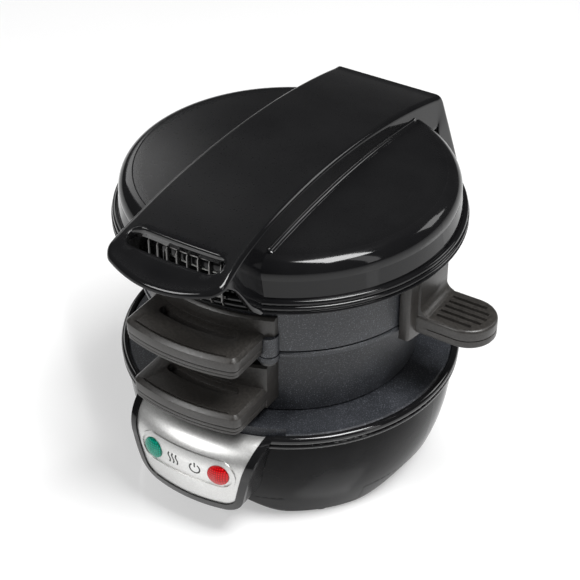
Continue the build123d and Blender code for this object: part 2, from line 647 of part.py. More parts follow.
def make_rubber_feet():
    feet = []
    for a in FOOT_ANGLES:
        at = polar(FOOT_PAD_RING_R, a)
        foot = tube(FOOT_PAD_R, 0.0, RUBBER_PROUD - 0.05, at=at)
        foot = chamfer(foot.edges().group_by(Axis.Z)[0], 0.5)
        foot += tube(FOOT_STEM_R, RUBBER_PROUD - 0.1, RUBBER_PROUD + 2.65, at=at)
        foot += tube(FOOT_STEM_R + 0.8, RUBBER_PROUD + 2.6, RUBBER_PROUD + 3.8, at=at)
        feet.append(foot)
    return group_of(feet)


def make_gland():
    """Bush in the rear wall through which the mains lead would leave."""
    axis = Plane(origin=(0, REAR_Y, GLAND_Z), z_dir=(0, 1, 0))
    bush = tube(GLAND_R, -3.0, 0.1) + tube(GLAND_R + 2.0, 0.05, GLAND_FLANGE_T)
    bush += tube(GLAND_R + 0.8, -4.6, -3.0 - 0.05) + tube(GLAND_R, -3.1, -2.9)
    bush = bush - tube(GLAND_BORE_R, -6, 3)
    return axis * bush


def make_hinge_pin():
    reach = EAR_OUT + 1.6
    pin = rod(PIN_R, -EAR_OUT - 0.1, reach, HINGE_Y, HINGE_Z)
    pin += rod(PIN_R + 1.8, -EAR_OUT - 1.5, -EAR_OUT - 0.1, HINGE_Y, HINGE_Z)
    groove = rod(PIN_R + 1, EAR_OUT + 0.3, EAR_OUT + 1.0, HINGE_Y, HINGE_Z)
    groove -= rod(PIN_R - 0.6, EAR_OUT, EAR_OUT + 2, HINGE_Y, HINGE_Z)
    return pin - groove


def make_hinge_clip():
    """Spring clip in the groove at the free end of the hinge pin."""
    clip = rod(PIN_R + 2.0, EAR_OUT + 0.35, EAR_OUT + 0.95, HINGE_Y, HINGE_Z)
    clip -= rod(PIN_R - 0.55, EAR_OUT, EAR_OUT + 2, HINGE_Y, HINGE_Z)
    return clip - block(EAR_OUT, EAR_OUT + 2, HINGE_Y - 1.5, HINGE_Y + 1.5, HINGE_Z - 6, HINGE_Z)


# ------------------------------------------------------------------ rings
def arm(profile, x0, x1):
    """Hinge arm of a ring: a profile in (y, z) that ends in a knuckle round the pin."""
    return across(profile, x0, x1) + rod(KNUCKLE_R, x0, x1, HINGE_Y, HINGE_Z)


def ring_tab(reach, z):
    """Flat tongue at the front of a ring that carries its handle."""
    return block(-TAB_HALF_W, TAB_HALF_W, -reach, 0, z, z + TAB_T)


def tab_holes(reach):
    return [(-8.5, 4.5 - reach), (8.5, 4.5 - reach)]


def make_lower_ring():
    z0, z1, edge = LOWER_RING_Z, LOWER_RING_TOP, 0.6
    y = HINGE_Y
    front = BORE_R + 1.5
    body = arm([(front, z1 - 12.0), (front, z1 - 0.8), (y - 12.5, z1 - 0.8), (y - 5.8, HINGE_Z + 3.9),
                (y, HINGE_Z), (y + 2.5, HINGE_Z - 6.5), (y - 7.0, z1 - 9.5), (y - 16.0, z1 - 12.0)],
               -LOWER_ARM_HALF, LOWER_ARM_HALF)
    body += ring_tab(LOWER_TAB_REACH, LOWER_TAB_Z)
    for at in tab_holes(LOWER_TAB_REACH):
        body -= tube(1.25, LOWER_TAB_Z - 1, LOWER_TAB_Z + 9, at=at)
    body += turned((BORE_R - 1, z0), (LOWER_RING_R - edge, z0), (LOWER_RING_R, z0 + edge),
                   (LOWER_RING_R, z1 - edge), (LOWER_RING_R - edge, z1), (BORE_R - 1, z1))
    body -= tube(BORE_R, z0 - 1, z1 + 1)
    return body - rod(PIN_R + RUN_CLEAR, -20, 20, HINGE_Y, HINGE_Z)


def make_upper_ring():
    z0, z1, edge = UPPER_RING_Z, UPPER_RING_TOP, 0.6
    r_in = UPPER_RING_R - UPPER_RING_WALL
    y = HINGE_Y
    half = arm([(r_in + 1.0, z0 + 1.7), (r_in + 1.0, z0 + 12.7), (y - 14.0, z0 + 12.7),
                (y + 1, HINGE_Z + 6.9), (y, HINGE_Z), (y - 5.0, HINGE_Z - 4.9), (y - 11.0, z0 + 1.7)],
               UPPER_ARM_IN, UPPER_ARM_OUT)
    body = both_sides(half)
    body += ring_tab(UPPER_TAB_REACH, UPPER_TAB_Z)
    for at in tab_holes(UPPER_TAB_REACH):
        body -= tube(1.25, UPPER_TAB_Z - 1, UPPER_TAB_Z + 9, at=at)
    body += tube(PIVOT_BOSS_R, z0, z0 + PIVOT_BOSS_H, at=(PIVOT_X, PIVOT_Y))
    body += turned((BORE_R - 1, z0), (UPPER_RING_R - edge, z0), (UPPER_RING_R, z0 + edge),
                   (UPPER_RING_R, z1 - edge), (UPPER_RING_R - edge, z1), (BORE_R - 1, z1))
    body -= turned((0, z0 - 1), (BORE_R, z0 - 1), (BORE_R, z0 + 2.5), (r_in, z0 + 14.0), (r_in, z1 + 1),
                   (0, z1 + 1))
    relief = turned((BORE_R + 3.4, z0 - 1), (r_in - 0.6, z0 - 1), (r_in - 0.6, z0 + 8.5),
                    (BORE_R + 3.4, z0 + 2.0))
    relief -= tube(PIVOT_BOSS_R, z0 - 2, z0 + 20, at=(PIVOT_X, PIVOT_Y))
    body -= relief
    body -= tube(PIVOT_PIN_R + FIT_CLEAR, z0 - 1, z0 + PIVOT_BOSS_H - 2.0, at=(PIVOT_X, PIVOT_Y))
    return body - rod(PIN_R + RUN_CLEAR, -20, 20, HINGE_Y, HINGE_Z)


def front_handle(front_r, top, half_w, ring_r, collar_r, collar_top, collar_half_w, tab_reach, tab_z):
    """Moulded front handle: banded front edge, sloped side rims, curved grip groove and collar."""
    low = top - FRONT_HANDLE_T

    def layer(z0, z1, inset):
        plan = tube(front_r - inset, z0, z1)
        w = half_w - inset
        slab = plan & block(-w, w, -front_r - 5, -ring_r * 0.75, z0, z1)
        upright = slab.edges().filter_by(Axis.Z).sort_by(Axis.Y)[0:2]
        return fillet(upright, 3.5)

    body = layer(low + 4.4, top, 0.0)
    crest = body.faces().sort_by(Axis.Z)[-1].edges().sort_by(Axis.Y)[:-1]
    body = chamfer(crest, 1.5)
    foot = layer(low, low + 1.9, 0.5)
    body += chamfer(foot.faces().sort_by(Axis.Z)[0].edges().sort_by(Axis.Y)[:-1], 0.8)
    body += layer(low + 2.4, low + 3.9, 0.2)
    body += layer(low + 1.8, low + 4.5, 1.1)
    collar = tube(collar_r, low, collar_top) & block(-collar_half_w, collar_half_w, -FAR, -20, 0, FAR)
    body += chamfer(collar.faces().sort_by(Axis.Z)[-1].edges().sort_by(Axis.Y)[0], 1.0)
    body -= tube(ring_r + SEAT, 0, FAR)
    body -= arc_band(front_r - 2.7, front_r - 1.9, half_w - 4.8, top - 0.7, top + 1)
    body -= arc_band(front_r - 18.5, front_r - 12.8, half_w - 8.3, top - 3.0, top + 1)
    pocket_half = TAB_HALF_W + SEAT
    body -= block(-pocket_half, pocket_half, -tab_reach - SEAT, 0, tab_z - SEAT, tab_z + TAB_T + SEAT)
    for at in tab_holes(tab_reach):
        body -= tube(1.4, low - 1, tab_z, at=at) + tube(3.0, low - 1, low + 2.0, at=at)
    return body


def make_lower_handle():
    return front_handle(LOWER_HANDLE_R, LOWER_HANDLE_TOP, LOWER_HANDLE_HALF_W, LOWER_RING_R,
                        LOWER_RING_R + LOWER_COLLAR_T, LOWER_COLLAR_TOP, LOWER_HANDLE_HALF_W,
                        LOWER_TAB_REACH, LOWER_TAB_Z)


def make_upper_handle():
    body = front_handle(UPPER_HANDLE_R, UPPER_HANDLE_TOP, UPPER_HANDLE_HALF_W, UPPER_RING_R,
                        UPPER_RING_R + UPPER_COLLAR_T, UPPER_COLLAR_TOP, UPPER_HANDLE_HALF_W + 3.2,
                        UPPER_TAB_REACH, UPPER_TAB_Z)
    around_boss = tube(PIVOT_BOSS_R + 2 * SEAT, 0, UPPER_RING_Z + PIVOT_BOSS_H + SEAT, at=(PIVOT_X, PIVOT_Y))
    return body - around_boss


# ------------------------------------------------------------------ cooking plate
def make_cooking_plate():
    z0, z1 = COOK_PLATE_Z, COOK_PLATE_Z + COOK_PLATE_T
    edge = 0.5
    plate = turned((0, z0), (COOK_PLATE_R - edge, z0), (COOK_PLATE_R, z0 + edge), (COOK_PLATE_R, z1 - edge),
                   (COOK_PLATE_R - edge, z1), (0, z1))
    plate += tube(PIVOT_EAR_R, z0, z1, at=(PIVOT_X, PIVOT_Y))
    plate += block(COOK_PLATE_R - 6, SIDE_TAB_REACH, -SIDE_TAB_HALF_W, SIDE_TAB_HALF_W, z0, z1)
    for at in SIDE_SCREWS:
        plate -= tube(1.5, z0 - 1, z1 + 1, at=at)
    return plate - tube(PIVOT_PIN_R + RUN_CLEAR, z0 - 1, z1 + 1, at=(PIVOT_X, PIVOT_Y))


def make_pivot_pin():
    """Shouldered pin that carries the cooking plate under the upper ring."""
    at = (PIVOT_X, PIVOT_Y)
    head_top = COOK_PLATE_Z - STACK_GAP
    pin = tube(PIVOT_PIN_R, head_top - 0.1, UPPER_RING_Z + PIVOT_BOSS_H - 2.5, at=at)
    pin += tube(PIVOT_PIN_R + 1.6, head_top - 1.6, head_top, at=at)
    return pin - block(PIVOT_X - 4, PIVOT_X + 4, PIVOT_Y - 0.4, PIVOT_Y + 0.4, head_top - 3, head_top - 1.0)


def make_side_handle():
    low, top = SIDE_HANDLE_TOP - SIDE_HANDLE_T, SIDE_HANDLE_TOP
    w, tip = SIDE_HANDLE_HALF_W, SIDE_HANDLE_REACH
    inner_r = COOK_PLATE_R + 0.4
    inside = BORE_R - 1.5
    plan = outline((inside, -w), (tip - w, -w), ((tip, 0), (tip - w, w)), (inside, w))
    grip = Pos(0, 0, low) * extrude(plan, amount=SIDE_HANDLE_T)
    grip = fillet(grip.faces().sort_by(Axis.Z)[-1].edges().sort_by(Axis.X)[1:], 1.4)
    grip = fillet(grip.faces().sort_by(Axis.Z)[0].edges().sort_by(Axis.X)[1:], 0.9)
    parting = Pos(0, 0, low + 3.3) * extrude(plan, amount=0.5)
    parting -= Pos(0, 0, low + 3.3) * extrude(offset(plan, -0.35), amount=0.5)
    grip -= parting & block(SIDE_COLLAR_R + 3.8, FAR, -FAR, FAR, 0, FAR)
    flare = Plane.XZ * outline((inside, top - 1), (SIDE_COLLAR_R + 3.6, top - 1), (SIDE_COLLAR_R + 3.6, top),
                               ((SIDE_COLLAR_R + 1.0, top + 1.8), (SIDE_COLLAR_R, top + 5.5)),
                               (SIDE_COLLAR_R, SIDE_COLLAR_TOP), (inside, SIDE_COLLAR_TOP))
    body = grip + extrude(flare, amount=w - 0.6, both=True)
    collar = tube(SIDE_COLLAR_R, low - 1.8, SIDE_COLLAR_TOP) & block(inside, FAR, -w - 5.0, w + 5.0, 0, FAR)
    outer = collar.edges().filter_by(Axis.Z).sort_by(Axis.X)[-2:]
    body += fillet(outer, 1.5)
    body -= tube(inner_r, 0, FAR)
    for i in range(5):
        y = 3.6 * (i - 2)
        end = tip - w + sqrt((w - 2.6) ** 2 - y * y) - 1.2
        body -= block(SIDE_COLLAR_R + 5.2, end, y - 0.8, y + 0.8, top - 1.2, top + 1)
    z0, z1 = COOK_PLATE_Z - SEAT, COOK_PLATE_Z + COOK_PLATE_T + SEAT
    body -= block(inside, SIDE_TAB_REACH + SEAT, -SIDE_TAB_HALF_W - SEAT, SIDE_TAB_HALF_W + SEAT, z0, z1)
    for at in SIDE_SCREWS:
        body -= tube(1.35, z1 - 0.1, z1 + 3.4, at=at)
        body -= tube(2.9, low - 1, z0 + 0.1, at=at)
    return body


# ------------------------------------------------------------------ cover
def cover_outside(grow=0.0):
    """Full outer body of the cover, from its rim to the dome."""
    z = COVER_RIM_Z
    shoulder = z + SHOULDER_RISE + grow
    return turned(
        (0, z - grow), (RIM_R - 0.5 + grow, z - grow),
        ((RIM_R + grow, z + TRIM_H / 2), (RIM_R - 0.5 + grow, z + TRIM_H + SEAT)),
        ((RIM_R + grow, z + 2.6), (RIM_R - 1.0 + grow, z + 3.5)),
        ((RIM_R - 0.5 + grow, z + 4.5), (COVER_WALL_R + 0.5 + grow, z + 5.7)),
        (COVER_WALL_R - 0.6 + grow, z + 13.0),
        ((COVER_WALL_R - 1.9 + grow, z + 18.3), (COVER_SHOULDER_R + 0.5 + grow, shoulder)),
        (COVER_SHOULDER_R + grow, shoulder - 0.1),
        dome(COVER_SHOULDER_R + grow, shoulder - 0.1, z + DOME_RISE + grow),
    )


def cover_inside():
    z = COVER_RIM_Z
    t = COVER_WALL_T
    return turned(
        (0, z - 1), (COVER_WALL_R - t, z - 1), (COVER_WALL_R - t, z + 12.5),
        ((COVER_WALL_R - t - 2.4, z + 17.0), (COVER_SHOULDER_R - t, z + SHOULDER_RISE - t)),
        dome(COVER_SHOULDER_R - t, z + SHOULDER_RISE - t, z + DOME_RISE - t),
    )


def make_cover_shell():
    body = cover_outside() - cover_inside()
    body -= tube(FAR, 0, COVER_RIM_Z + TRIM_H + SEAT)
    body -= block(-5, 5, COVER_SHOULDER_R - 9, COVER_WALL_R + 9, WIRE_Z - 2.5, WIRE_Z + 2.5)
    for at in STRAP_SCREWS:
        body -= tube(1.8, COVER_RIM_Z + 5, COVER_RIM_Z + 40, at=at)
    outlets = tube(FAR, COVER_RIM_Z + 7.0, COVER_RIM_Z + 14.0, COVER_SHOULDER_R - 4.0)
    body -= outlets & wedge(-COMB_ANGLE, COMB_ANGLE, 0, FAR)
    for at in liner_screw_places():
        post = tube(2.3, LINER_TOP + SEAT, COVER_RIM_Z + DOME_RISE, at=at) & cover_outside(-1.0)
        body += post - tube(0.9, LINER_TOP - 1, LINER_TOP + 7, at=at)
    return body


def make_cover_trim():
    """Satin band along the lower edge of the cover."""
    z = COVER_RIM_Z
    r_in = COVER_WALL_R - COVER_WALL_T
    return turned((r_in, z), (RIM_R - 0.5, z), ((RIM_R, z + TRIM_H / 2), (RIM_R - 0.5, z + TRIM_H)),
                  (r_in, z + TRIM_H))


def strap_prism(inset=0.0):
    """Long bar with a drafted cross-section that the strap is cut from."""
    top = COVER_RIM_Z + STRAP_RISE
    wide = STRAP_HALF_W - STRAP_DRAFT * 2.0 - inset
    low_w = STRAP_HALF_W + STRAP_DRAFT * 60.0 - inset
    face = outline((-wide, top + 2), (-low_w, top - 60.0), (low_w, top - 60.0), (wide, top + 2))
    return Pos(0, FAR, 0) * extrude(Plane.XZ * face, amount=2 * FAR)


def strap_top(y, inset=0.0):
    """Height of the strap's top at y: a long arc that rolls down more tightly in front."""
    centre_y, centre_z, r = STRAP_CREST_Y, COVER_RIM_Z + STRAP_RISE - STRAP_TOP_R, STRAP_TOP_R
    if y < STRAP_BROW_Y:
        brow_z = centre_z + sqrt(r ** 2 - (STRAP_BROW_Y - centre_y) ** 2)
        share = STRAP_BROW_R / STRAP_TOP_R
        centre_y = STRAP_BROW_Y + (centre_y - STRAP_BROW_Y) * share
        centre_z = brow_z + (centre_z - brow_z) * share
        r = STRAP_BROW_R
    return centre_z + sqrt((r - inset) ** 2 - (y - centre_y) ** 2)


def strap_side(inset=0.0):
    """Side view of the strap as a wide slab: rolled top, rear leg and swept-back underside.

    With an inset it is the hollow of the strap, which is open at the foot of the leg."""
    z, y = COVER_RIM_Z, -RIM_R
    root_y, end_y = y - 10.5, STRAP_FRONT_Y - 2.0
    lip_y = end_y + 2 * inset
    root_z, end_z = strap_top(root_y) - LIP_ROOT_T, strap_top(end_y) - LIP_EDGE_T
    hip_y = HINGE_Y - 4.5 - inset
    leg_y = REAR_Y - 0.3 - inset
    leg_z = LEG_LOW_Z - inset
    leg_front = LEG_FRONT_Y + inset

    def top(at_y):
        return (at_y, strap_top(at_y, inset))

    return across(
        [top(lip_y), (top((lip_y + STRAP_BROW_Y) / 2), top(STRAP_BROW_Y)), (top(0.0), top(hip_y)),
         ((hip_y + 3.9, z + 21.2 - inset), (hip_y + 5.4, z + 17.2 - inset)),
         (leg_y, leg_z), (leg_front, leg_z), (leg_front, z + 10.0), (0, z + 10.0), (y + 8.0, z),
         (y + 5.0, z), ((y + 1.5, z + 3.4), (y - 1.0, z + 7.4)), ((y - 5.0, z + 14.9), (root_y, root_z)),
         (lip_y, end_z)],
        -45, 45,
    )


def strap_plan(inset=0.0):
    """Plan view of the strap: the front lip is a shallow arc between round corners."""
    front = STRAP_FRONT_Y + inset
    half = LIP_HALF_W - inset
    side = front + LIP_BOW + 12.0
    face = outline((-FAR, FAR), (-FAR, side + 40.0), (-half - 0.8, side), (-half, front + LIP_BOW),
                   ((0, front), (half, front + LIP_BOW)), (half + 0.8, side), (FAR, side + 40.0), (FAR, FAR))
    corners = face.vertices().sort_by(Axis.Y)[0:2]
    return Pos(0, 0, LEG_LOW_Z) * extrude(fillet(corners, LIP_CORNER_R), amount=FAR)


def make_strap():
    body = strap_prism() & strap_side() & strap_plan()
    crest = [e for e in body.edges()
             if e.center().Z > COVER_RIM_Z + 22 and abs(e.center().X) > 15 and e.length > 30]
    body = fillet(crest, STRAP_EDGE_R)
    hollow = strap_prism(STRAP_WALL) & strap_side(STRAP_WALL) & strap_plan(STRAP_WALL)
    for x, y in STRAP_SCREWS:
        rib = block(-40, 40, y - 1, y + 1, COVER_RIM_Z, FAR)
        hollow -= rib + tube(4.2, COVER_RIM_Z, FAR, at=(x, y))
    for x, y in BRACKET_SCREWS:
        hollow -= block(x - 3.0, x + 3.0, LEG_FRONT_Y, FAR, BRACKET_TOP + SEAT, BRACKET_TOP + 12.0)
    hollow -= slot_band(SLOT_SKIRT_T, SLOT_SKIRT_Z, FAR)
    body -= hollow
    body -= cover_outside(SEAT)
    body -= slot_band(0.0, COVER_RIM_Z + 15, FAR)
    for at in STRAP_SCREWS:
        body -= tube(1.3, COVER_RIM_Z, COVER_RIM_Z + STRAP_RISE - 4, at=at)
    for at in BRACKET_SCREWS:
        body -= tube(1.3, BRACKET_TOP, BRACKET_TOP + 8.0, at=at)
    return body


def slot_band(grow, z0, z1):
    """Curved band of the steam slot with round ends."""
    centre_y = STRAP_FRONT_Y + SLOT_SETBACK + SLOT_BOW_R
    half_t = SLOT_W / 2 + grow
    end = degrees(asin((SLOT_HALF_LEN - SLOT_W / 2) / SLOT_BOW_R))
    band = tube(SLOT_BOW_R + half_t, z0, z1, SLOT_BOW_R - half_t) & wedge(-end, end, z0, z1)
    for side in (-1, 1):
        band += tube(half_t, z0, z1, at=polar(SLOT_BOW_R, side * end))
    return Pos(0, centre_y, 0) * band


def make_hinge_bracket():
    """Bracket in the open foot of the strap's leg: base plate, two necks and knuckles."""
    inset = STRAP_WALL + SEAT
    body = strap_prism(inset) & strap_side(inset) & block(-FAR, FAR, RIM_R, FAR, LEG_LOW_Z, BRACKET_TOP)
    body -= block(-4, 4, WIRE_RISER_Y - 1.7, WIRE_RISER_Y + 1.7, LEG_LOW_Z - 1, BRACKET_TOP + 1)
    for at in BRACKET_SCREWS:
        body -= tube(1.6, LEG_LOW_Z - 1, BRACKET_TOP + 1, at=at)
    y, low = HINGE_Y, LEG_LOW_Z - SEAT
    neck = across([(y - 6.5, HINGE_Z), (y - 6.5, low), (y - 4.5, low), (y - 4.5, LEG_LOW_Z + 1),
                   (y + 3.0, LEG_LOW_Z + 1), (y + 3.0, low), (y + 6.0, low), (y + 6.9, HINGE_Z)],
                  COVER_KNUCKLE_IN, COVER_KNUCKLE_OUT)
    neck += rod(KNUCKLE_R, COVER_KNUCKLE_IN, COVER_KNUCKLE_OUT, HINGE_Y, HINGE_Z)
    return body + both_sides(neck) - rod(PIN_R + RUN_CLEAR, -FAR, FAR, HINGE_Y, HINGE_Z)


def make_vent_comb():
    """Comb of upright fins between the steam outlets of the cover and the slot in the strap."""
    z0, z1 = COVER_RIM_Z + 1.6, COMB_TOP
    inner = RIM_R + 0.6
    span = wedge(-COMB_ANGLE - 0.8, COMB_ANGLE + 0.8, 0, FAR)
    body = tube(inner + 1.2, z1 - 1.6, z1, inner) & span
    body += tube(inner + 1.4, z0 + 4.0, z0 + 6.0, inner) & span
    for i in range(COMB_FINS):
        angle = COMB_ANGLE * (2.0 * i / (COMB_FINS - 1) - 1.0)
        fin = across([(-inner, z0), (-inner - 1.0, z0), (-inner - COMB_DEPTH, z0 + 4.0),
                      (-inner - COMB_DEPTH, z1), (-inner, z1)], -COMB_FIN_T / 2, COMB_FIN_T / 2)
        body += Rot(0, 0, angle) * fin
    return body - cover_outside(SEAT)


def liner_screw_places():
    return [polar(LINER_SCREW_R, a) for a in (45.0, 135.0, 225.0, 315.0)]


def make_liner():
    """Ring-shaped inner trim that closes the gap between the upper hot plate and the cover."""
    z = COVER_PLATE_Z + 0.5
    r = COVER_WALL_R - COVER_WALL_T - SEAT
    body = turned((UPPER_PLATE_R + EDGE_GAP, z), (r, z), (r, LINER_TOP), (r - 0.9, LINER_TOP + 6.2),
                  (r - 2.2, LINER_TOP + 6.2), (r - 1.6, LINER_TOP), (UPPER_PLATE_R + EDGE_GAP, LINER_TOP))
    for at in liner_screw_places():
        body -= tube(1.3, z - 1, z + 3, at=at)
        body -= tube(2.5, LINER_TOP - 0.01, LINER_TOP + 9, at=at)
    return body


def upper_posts():
    return [polar(UPPER_POST_R, a) for a in (60.0, 180.0, 300.0)]


def make_upper_plate():
    z = COVER_PLATE_Z
    plate = turned((0, z), (UPPER_PLATE_R - 0.6, z), (UPPER_PLATE_R, z + 0.6),
                   (UPPER_PLATE_R, z + HOT_PLATE_T), (0, z + HOT_PLATE_T))
    top = z + HOT_PLATE_T
    plate += tube(UPPER_ELEMENT_RING_R + 6, top, top + 2.6, UPPER_ELEMENT_RING_R - 6)
    plate -= Pos(0, 0, top + 3.2) * Torus(UPPER_ELEMENT_RING_R, ELEMENT_R + SEAT)
    for at in upper_posts():
        plate += tube(4.0, top, UPPER_SHIELD_Z - SEAT, at=at)
        plate -= tube(1.25, top + 0.6, UPPER_SHIELD_Z + 1, at=at)
    return plate


def make_upper_shield():
    """Pressed heat shield over the upper element, screwed to the plate's posts."""
    z = UPPER_SHIELD_Z
    r_out = COVER_WALL_R - COVER_WALL_T - SEAT - 1.0
    r = UPPER_POST_R - 8.0
    dish = turned((9.0, z + 3.4), (r, z + 3.4), (r + 2.0, z), (r_out, z), (r_out, z + 0.6),
                  (r + 2.4, z + 0.6), (r + 0.4, z + 4.0), (9.0, z + 4.0))
    for at in upper_posts():
        dish -= tube(1.5, z - 2, z + 2, at=at)
    for at in liner_screw_places():
        dish -= tube(2.9, z - 2, z + 3, at=at)
    for side in (-1, 1):
        dish -= tube(3.4, z, z + 6, at=polar(UPPER_ELEMENT_RING_R, 180 + side * 24.0))
    return dish


def make_cover_wiring():
    wires = []
    for side in (-1, 1):
        x, y = polar(UPPER_ELEMENT_RING_R, 180 - side * 24.0)
        wires.append(wire([(x, y + 3.4, WIRE_Z), (side * 2.2, COVER_SHOULDER_R - 9, WIRE_Z),
                           (side * 2.2, WIRE_RISER_Y, WIRE_Z), (side * 2.2, WIRE_RISER_Y, LEG_LOW_Z + 1.0)],
                          r=1.0, bend=3.5))
    return group_of(wires)


# ------------------------------------------------------------------ assembly
node("base_housing", make_base_housing())
node("hinge_tower", make_hinge_tower())
tower_seats = [(side * TOWER_SCREW_X, -TOWER_SCREW_Z) for side in (-1, 1)]
node("hinge_tower_screws", Rot(-90, 0, 0) * screws(tower_seats, TOWER_BOSS_Y, 14.0))
node("base_rim_ring", make_rim_ring())
node("control_bezel", make_bezel())
node("control_panel", make_panel())
node("ready_lens", make_lens(-1))
node("power_lens", make_lens(1))
node("lamp_board", make_lamp_board())
node("indicator_lamps", make_lamps())
node("lower_hot_plate", make_lower_plate())
node("lower_heating_element", element(ELEMENT_RING_R, PLATE_TOP - HOT_PLATE_T - 4.6,
                                      PLATE_TOP - HOT_PLATE_T - 5.0, SHIELD_SEAT_Z - 12.5, 180.0))
node("lower_heat_shield", make_lower_shield())
node("lower_plate_screws", screws(plate_posts(), SHIELD_SEAT_Z - 7.0, 12.0, head_r=2.9, shaft_r=1.35))
node("lower_thermostat", thermostat(PLATE_TOP - HOT_PLATE_T, up=False))
node("thermal_cutout", make_fuse())
node("terminal_block", make_terminal_block())
node("base_wiring", make_base_wiring())
node("bottom_cover", make_bottom_cover())
node("bottom_cover_screws", screws(cover_plate_posts(), BOTTOM_COVER_TOP - 2.2, 9.5))
node("rubber_feet", make_rubber_feet())
node("cord_gland", make_gland())
node("hinge_pin", make_hinge_pin())
node("hinge_pin_clip", make_hinge_clip())

node("lower_ring", make_lower_ring())
node("lower_ring_handle", make_lower_handle())
node("lower_handle_screws", screws(tab_holes(LOWER_TAB_REACH), LOWER_HANDLE_TOP - FRONT_HANDLE_T + 2.0, 4.0,
                                   head_r=2.7, shaft_r=1.2))

node("upper_ring", make_upper_ring())
node("upper_ring_handle", make_upper_handle())
node("upper_handle_screws", screws(tab_holes(UPPER_TAB_REACH), UPPER_HANDLE_TOP - FRONT_HANDLE_T + 2.0, 4.0,
                                   head_r=2.7, shaft_r=1.2))
node("plate_pivot_pin", make_pivot_pin())

node("cooking_plate", make_cooking_plate())
node("cooking_plate_handle", make_side_handle())
node("cooking_plate_screws", screws(SIDE_SCREWS, COOK_PLATE_Z, 5.4, head_r=2.5, shaft_r=1.3, head_h=1.0))

node("cover_shell", make_cover_shell())
node("cover_trim_band", make_cover_trim())
node("cover_strap_handle", make_strap())
node("cover_hinge_bracket", make_hinge_bracket())
node("hinge_bracket_screws", screws(BRACKET_SCREWS, LEG_LOW_Z, 9.0))
node("steam_vent_comb", make_vent_comb())
node("cover_liner", make_liner())
node("upper_hot_plate", make_upper_plate())
node("upper_heating_element", element(UPPER_ELEMENT_RING_R, COVER_PLATE_Z + HOT_PLATE_T + 3.2, WIRE_Z - 0.2,
                                      COVER_PLATE_Z + HOT_PLATE_T + 4.0, 180.0))
node("upper_heat_shield", make_upper_shield())
node("upper_plate_screws", screws(upper_posts(), UPPER_SHIELD_Z + 0.6 + SEAT, 5.0, up=False, head_h=1.4))
node("upper_thermostat", thermostat(COVER_PLATE_Z + HOT_PLATE_T, up=True))
node("cover_liner_screws", screws(liner_screw_places(), COVER_PLATE_Z + 0.5, 6.8, head_r=1.9, shaft_r=0.85,
                                  head_h=1.0))
node("strap_screws", screws(STRAP_SCREWS, COVER_RIM_Z + DOME_RISE - COVER_WALL_T - 1.7, 8.0, head_r=2.9))
node("cover_wiring", make_cover_wiring())

# the origin goes to the table, under the middle of the object's outer box
mid_x = (SIDE_HANDLE_REACH - RIM_R) / 2
mid_y = (STRAP_FRONT_Y + REAR_Y + GLAND_FLANGE_T) / 2
for name, body in NODES.items():
    export_step(Pos(-mid_x, -mid_y, 0) * body, f"parts/{name}.step")
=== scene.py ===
import bpy
import bmesh
import json
from math import cos, pi, radians, sin
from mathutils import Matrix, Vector
from mathutils.bvhtree import BVHTree


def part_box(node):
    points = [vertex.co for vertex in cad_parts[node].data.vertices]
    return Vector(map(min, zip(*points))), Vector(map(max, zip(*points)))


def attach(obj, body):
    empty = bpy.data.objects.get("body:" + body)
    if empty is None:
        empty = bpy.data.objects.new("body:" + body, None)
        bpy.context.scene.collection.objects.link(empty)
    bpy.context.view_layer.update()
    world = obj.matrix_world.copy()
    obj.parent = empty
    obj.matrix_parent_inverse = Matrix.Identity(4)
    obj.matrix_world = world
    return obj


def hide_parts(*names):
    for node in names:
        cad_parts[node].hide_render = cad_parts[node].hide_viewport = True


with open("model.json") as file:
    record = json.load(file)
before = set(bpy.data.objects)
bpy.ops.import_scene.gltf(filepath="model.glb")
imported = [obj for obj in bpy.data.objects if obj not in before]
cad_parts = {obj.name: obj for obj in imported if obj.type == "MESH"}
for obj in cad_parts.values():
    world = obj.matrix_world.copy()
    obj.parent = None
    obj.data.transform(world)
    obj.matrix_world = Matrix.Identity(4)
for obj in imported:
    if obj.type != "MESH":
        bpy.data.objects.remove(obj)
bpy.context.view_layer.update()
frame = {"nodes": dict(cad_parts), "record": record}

# the axis of the rings in the frame, in metres
RING_X, RING_Y = -0.011, 0.0023
# shapes are given in millimetres about that axis, front towards -Y, as in the part's own source
MM = 0.001


# ------------------------------------------------------------------ camera and lights
def aim(obj, target):
    """Turn a camera or light towards a point."""
    away = obj.location - Vector(target)
    obj.rotation_euler = away.to_track_quat("Z", "Y").to_euler()


AZIMUTH, ELEVATION, DISTANCE = radians(32.0), radians(36.0), 0.680
TARGET = Vector((RING_X, RING_Y, 0.0764))
# side, focal length and shift of the photograph in pixels, and the sensor in millimetres
PHOTO_SIDE, FOCAL_LENGTH = 580.0, 1580.0
SHIFT_X, SHIFT_Y = -0.4, -4.0
SENSOR = 36.0

cam_data = bpy.data.cameras.new("camera")
cam = bpy.data.objects.new("camera", cam_data)
bpy.context.scene.collection.objects.link(cam)
seen_from = Vector((sin(AZIMUTH) * cos(ELEVATION), -cos(AZIMUTH) * cos(ELEVATION), sin(ELEVATION)))
cam.location = TARGET + DISTANCE * seen_from
aim(cam, TARGET)
cam_data.sensor_width = SENSOR
cam_data.lens = FOCAL_LENGTH / PHOTO_SIDE * SENSOR
cam_data.shift_x = SHIFT_X / PHOTO_SIDE
cam_data.shift_y = SHIFT_Y / PHOTO_SIDE
cam_data.clip_start = 0.01
cam_data.clip_end = 20.0
bpy.context.scene.camera = cam
bpy.context.scene.view_settings.view_transform = "Standard"


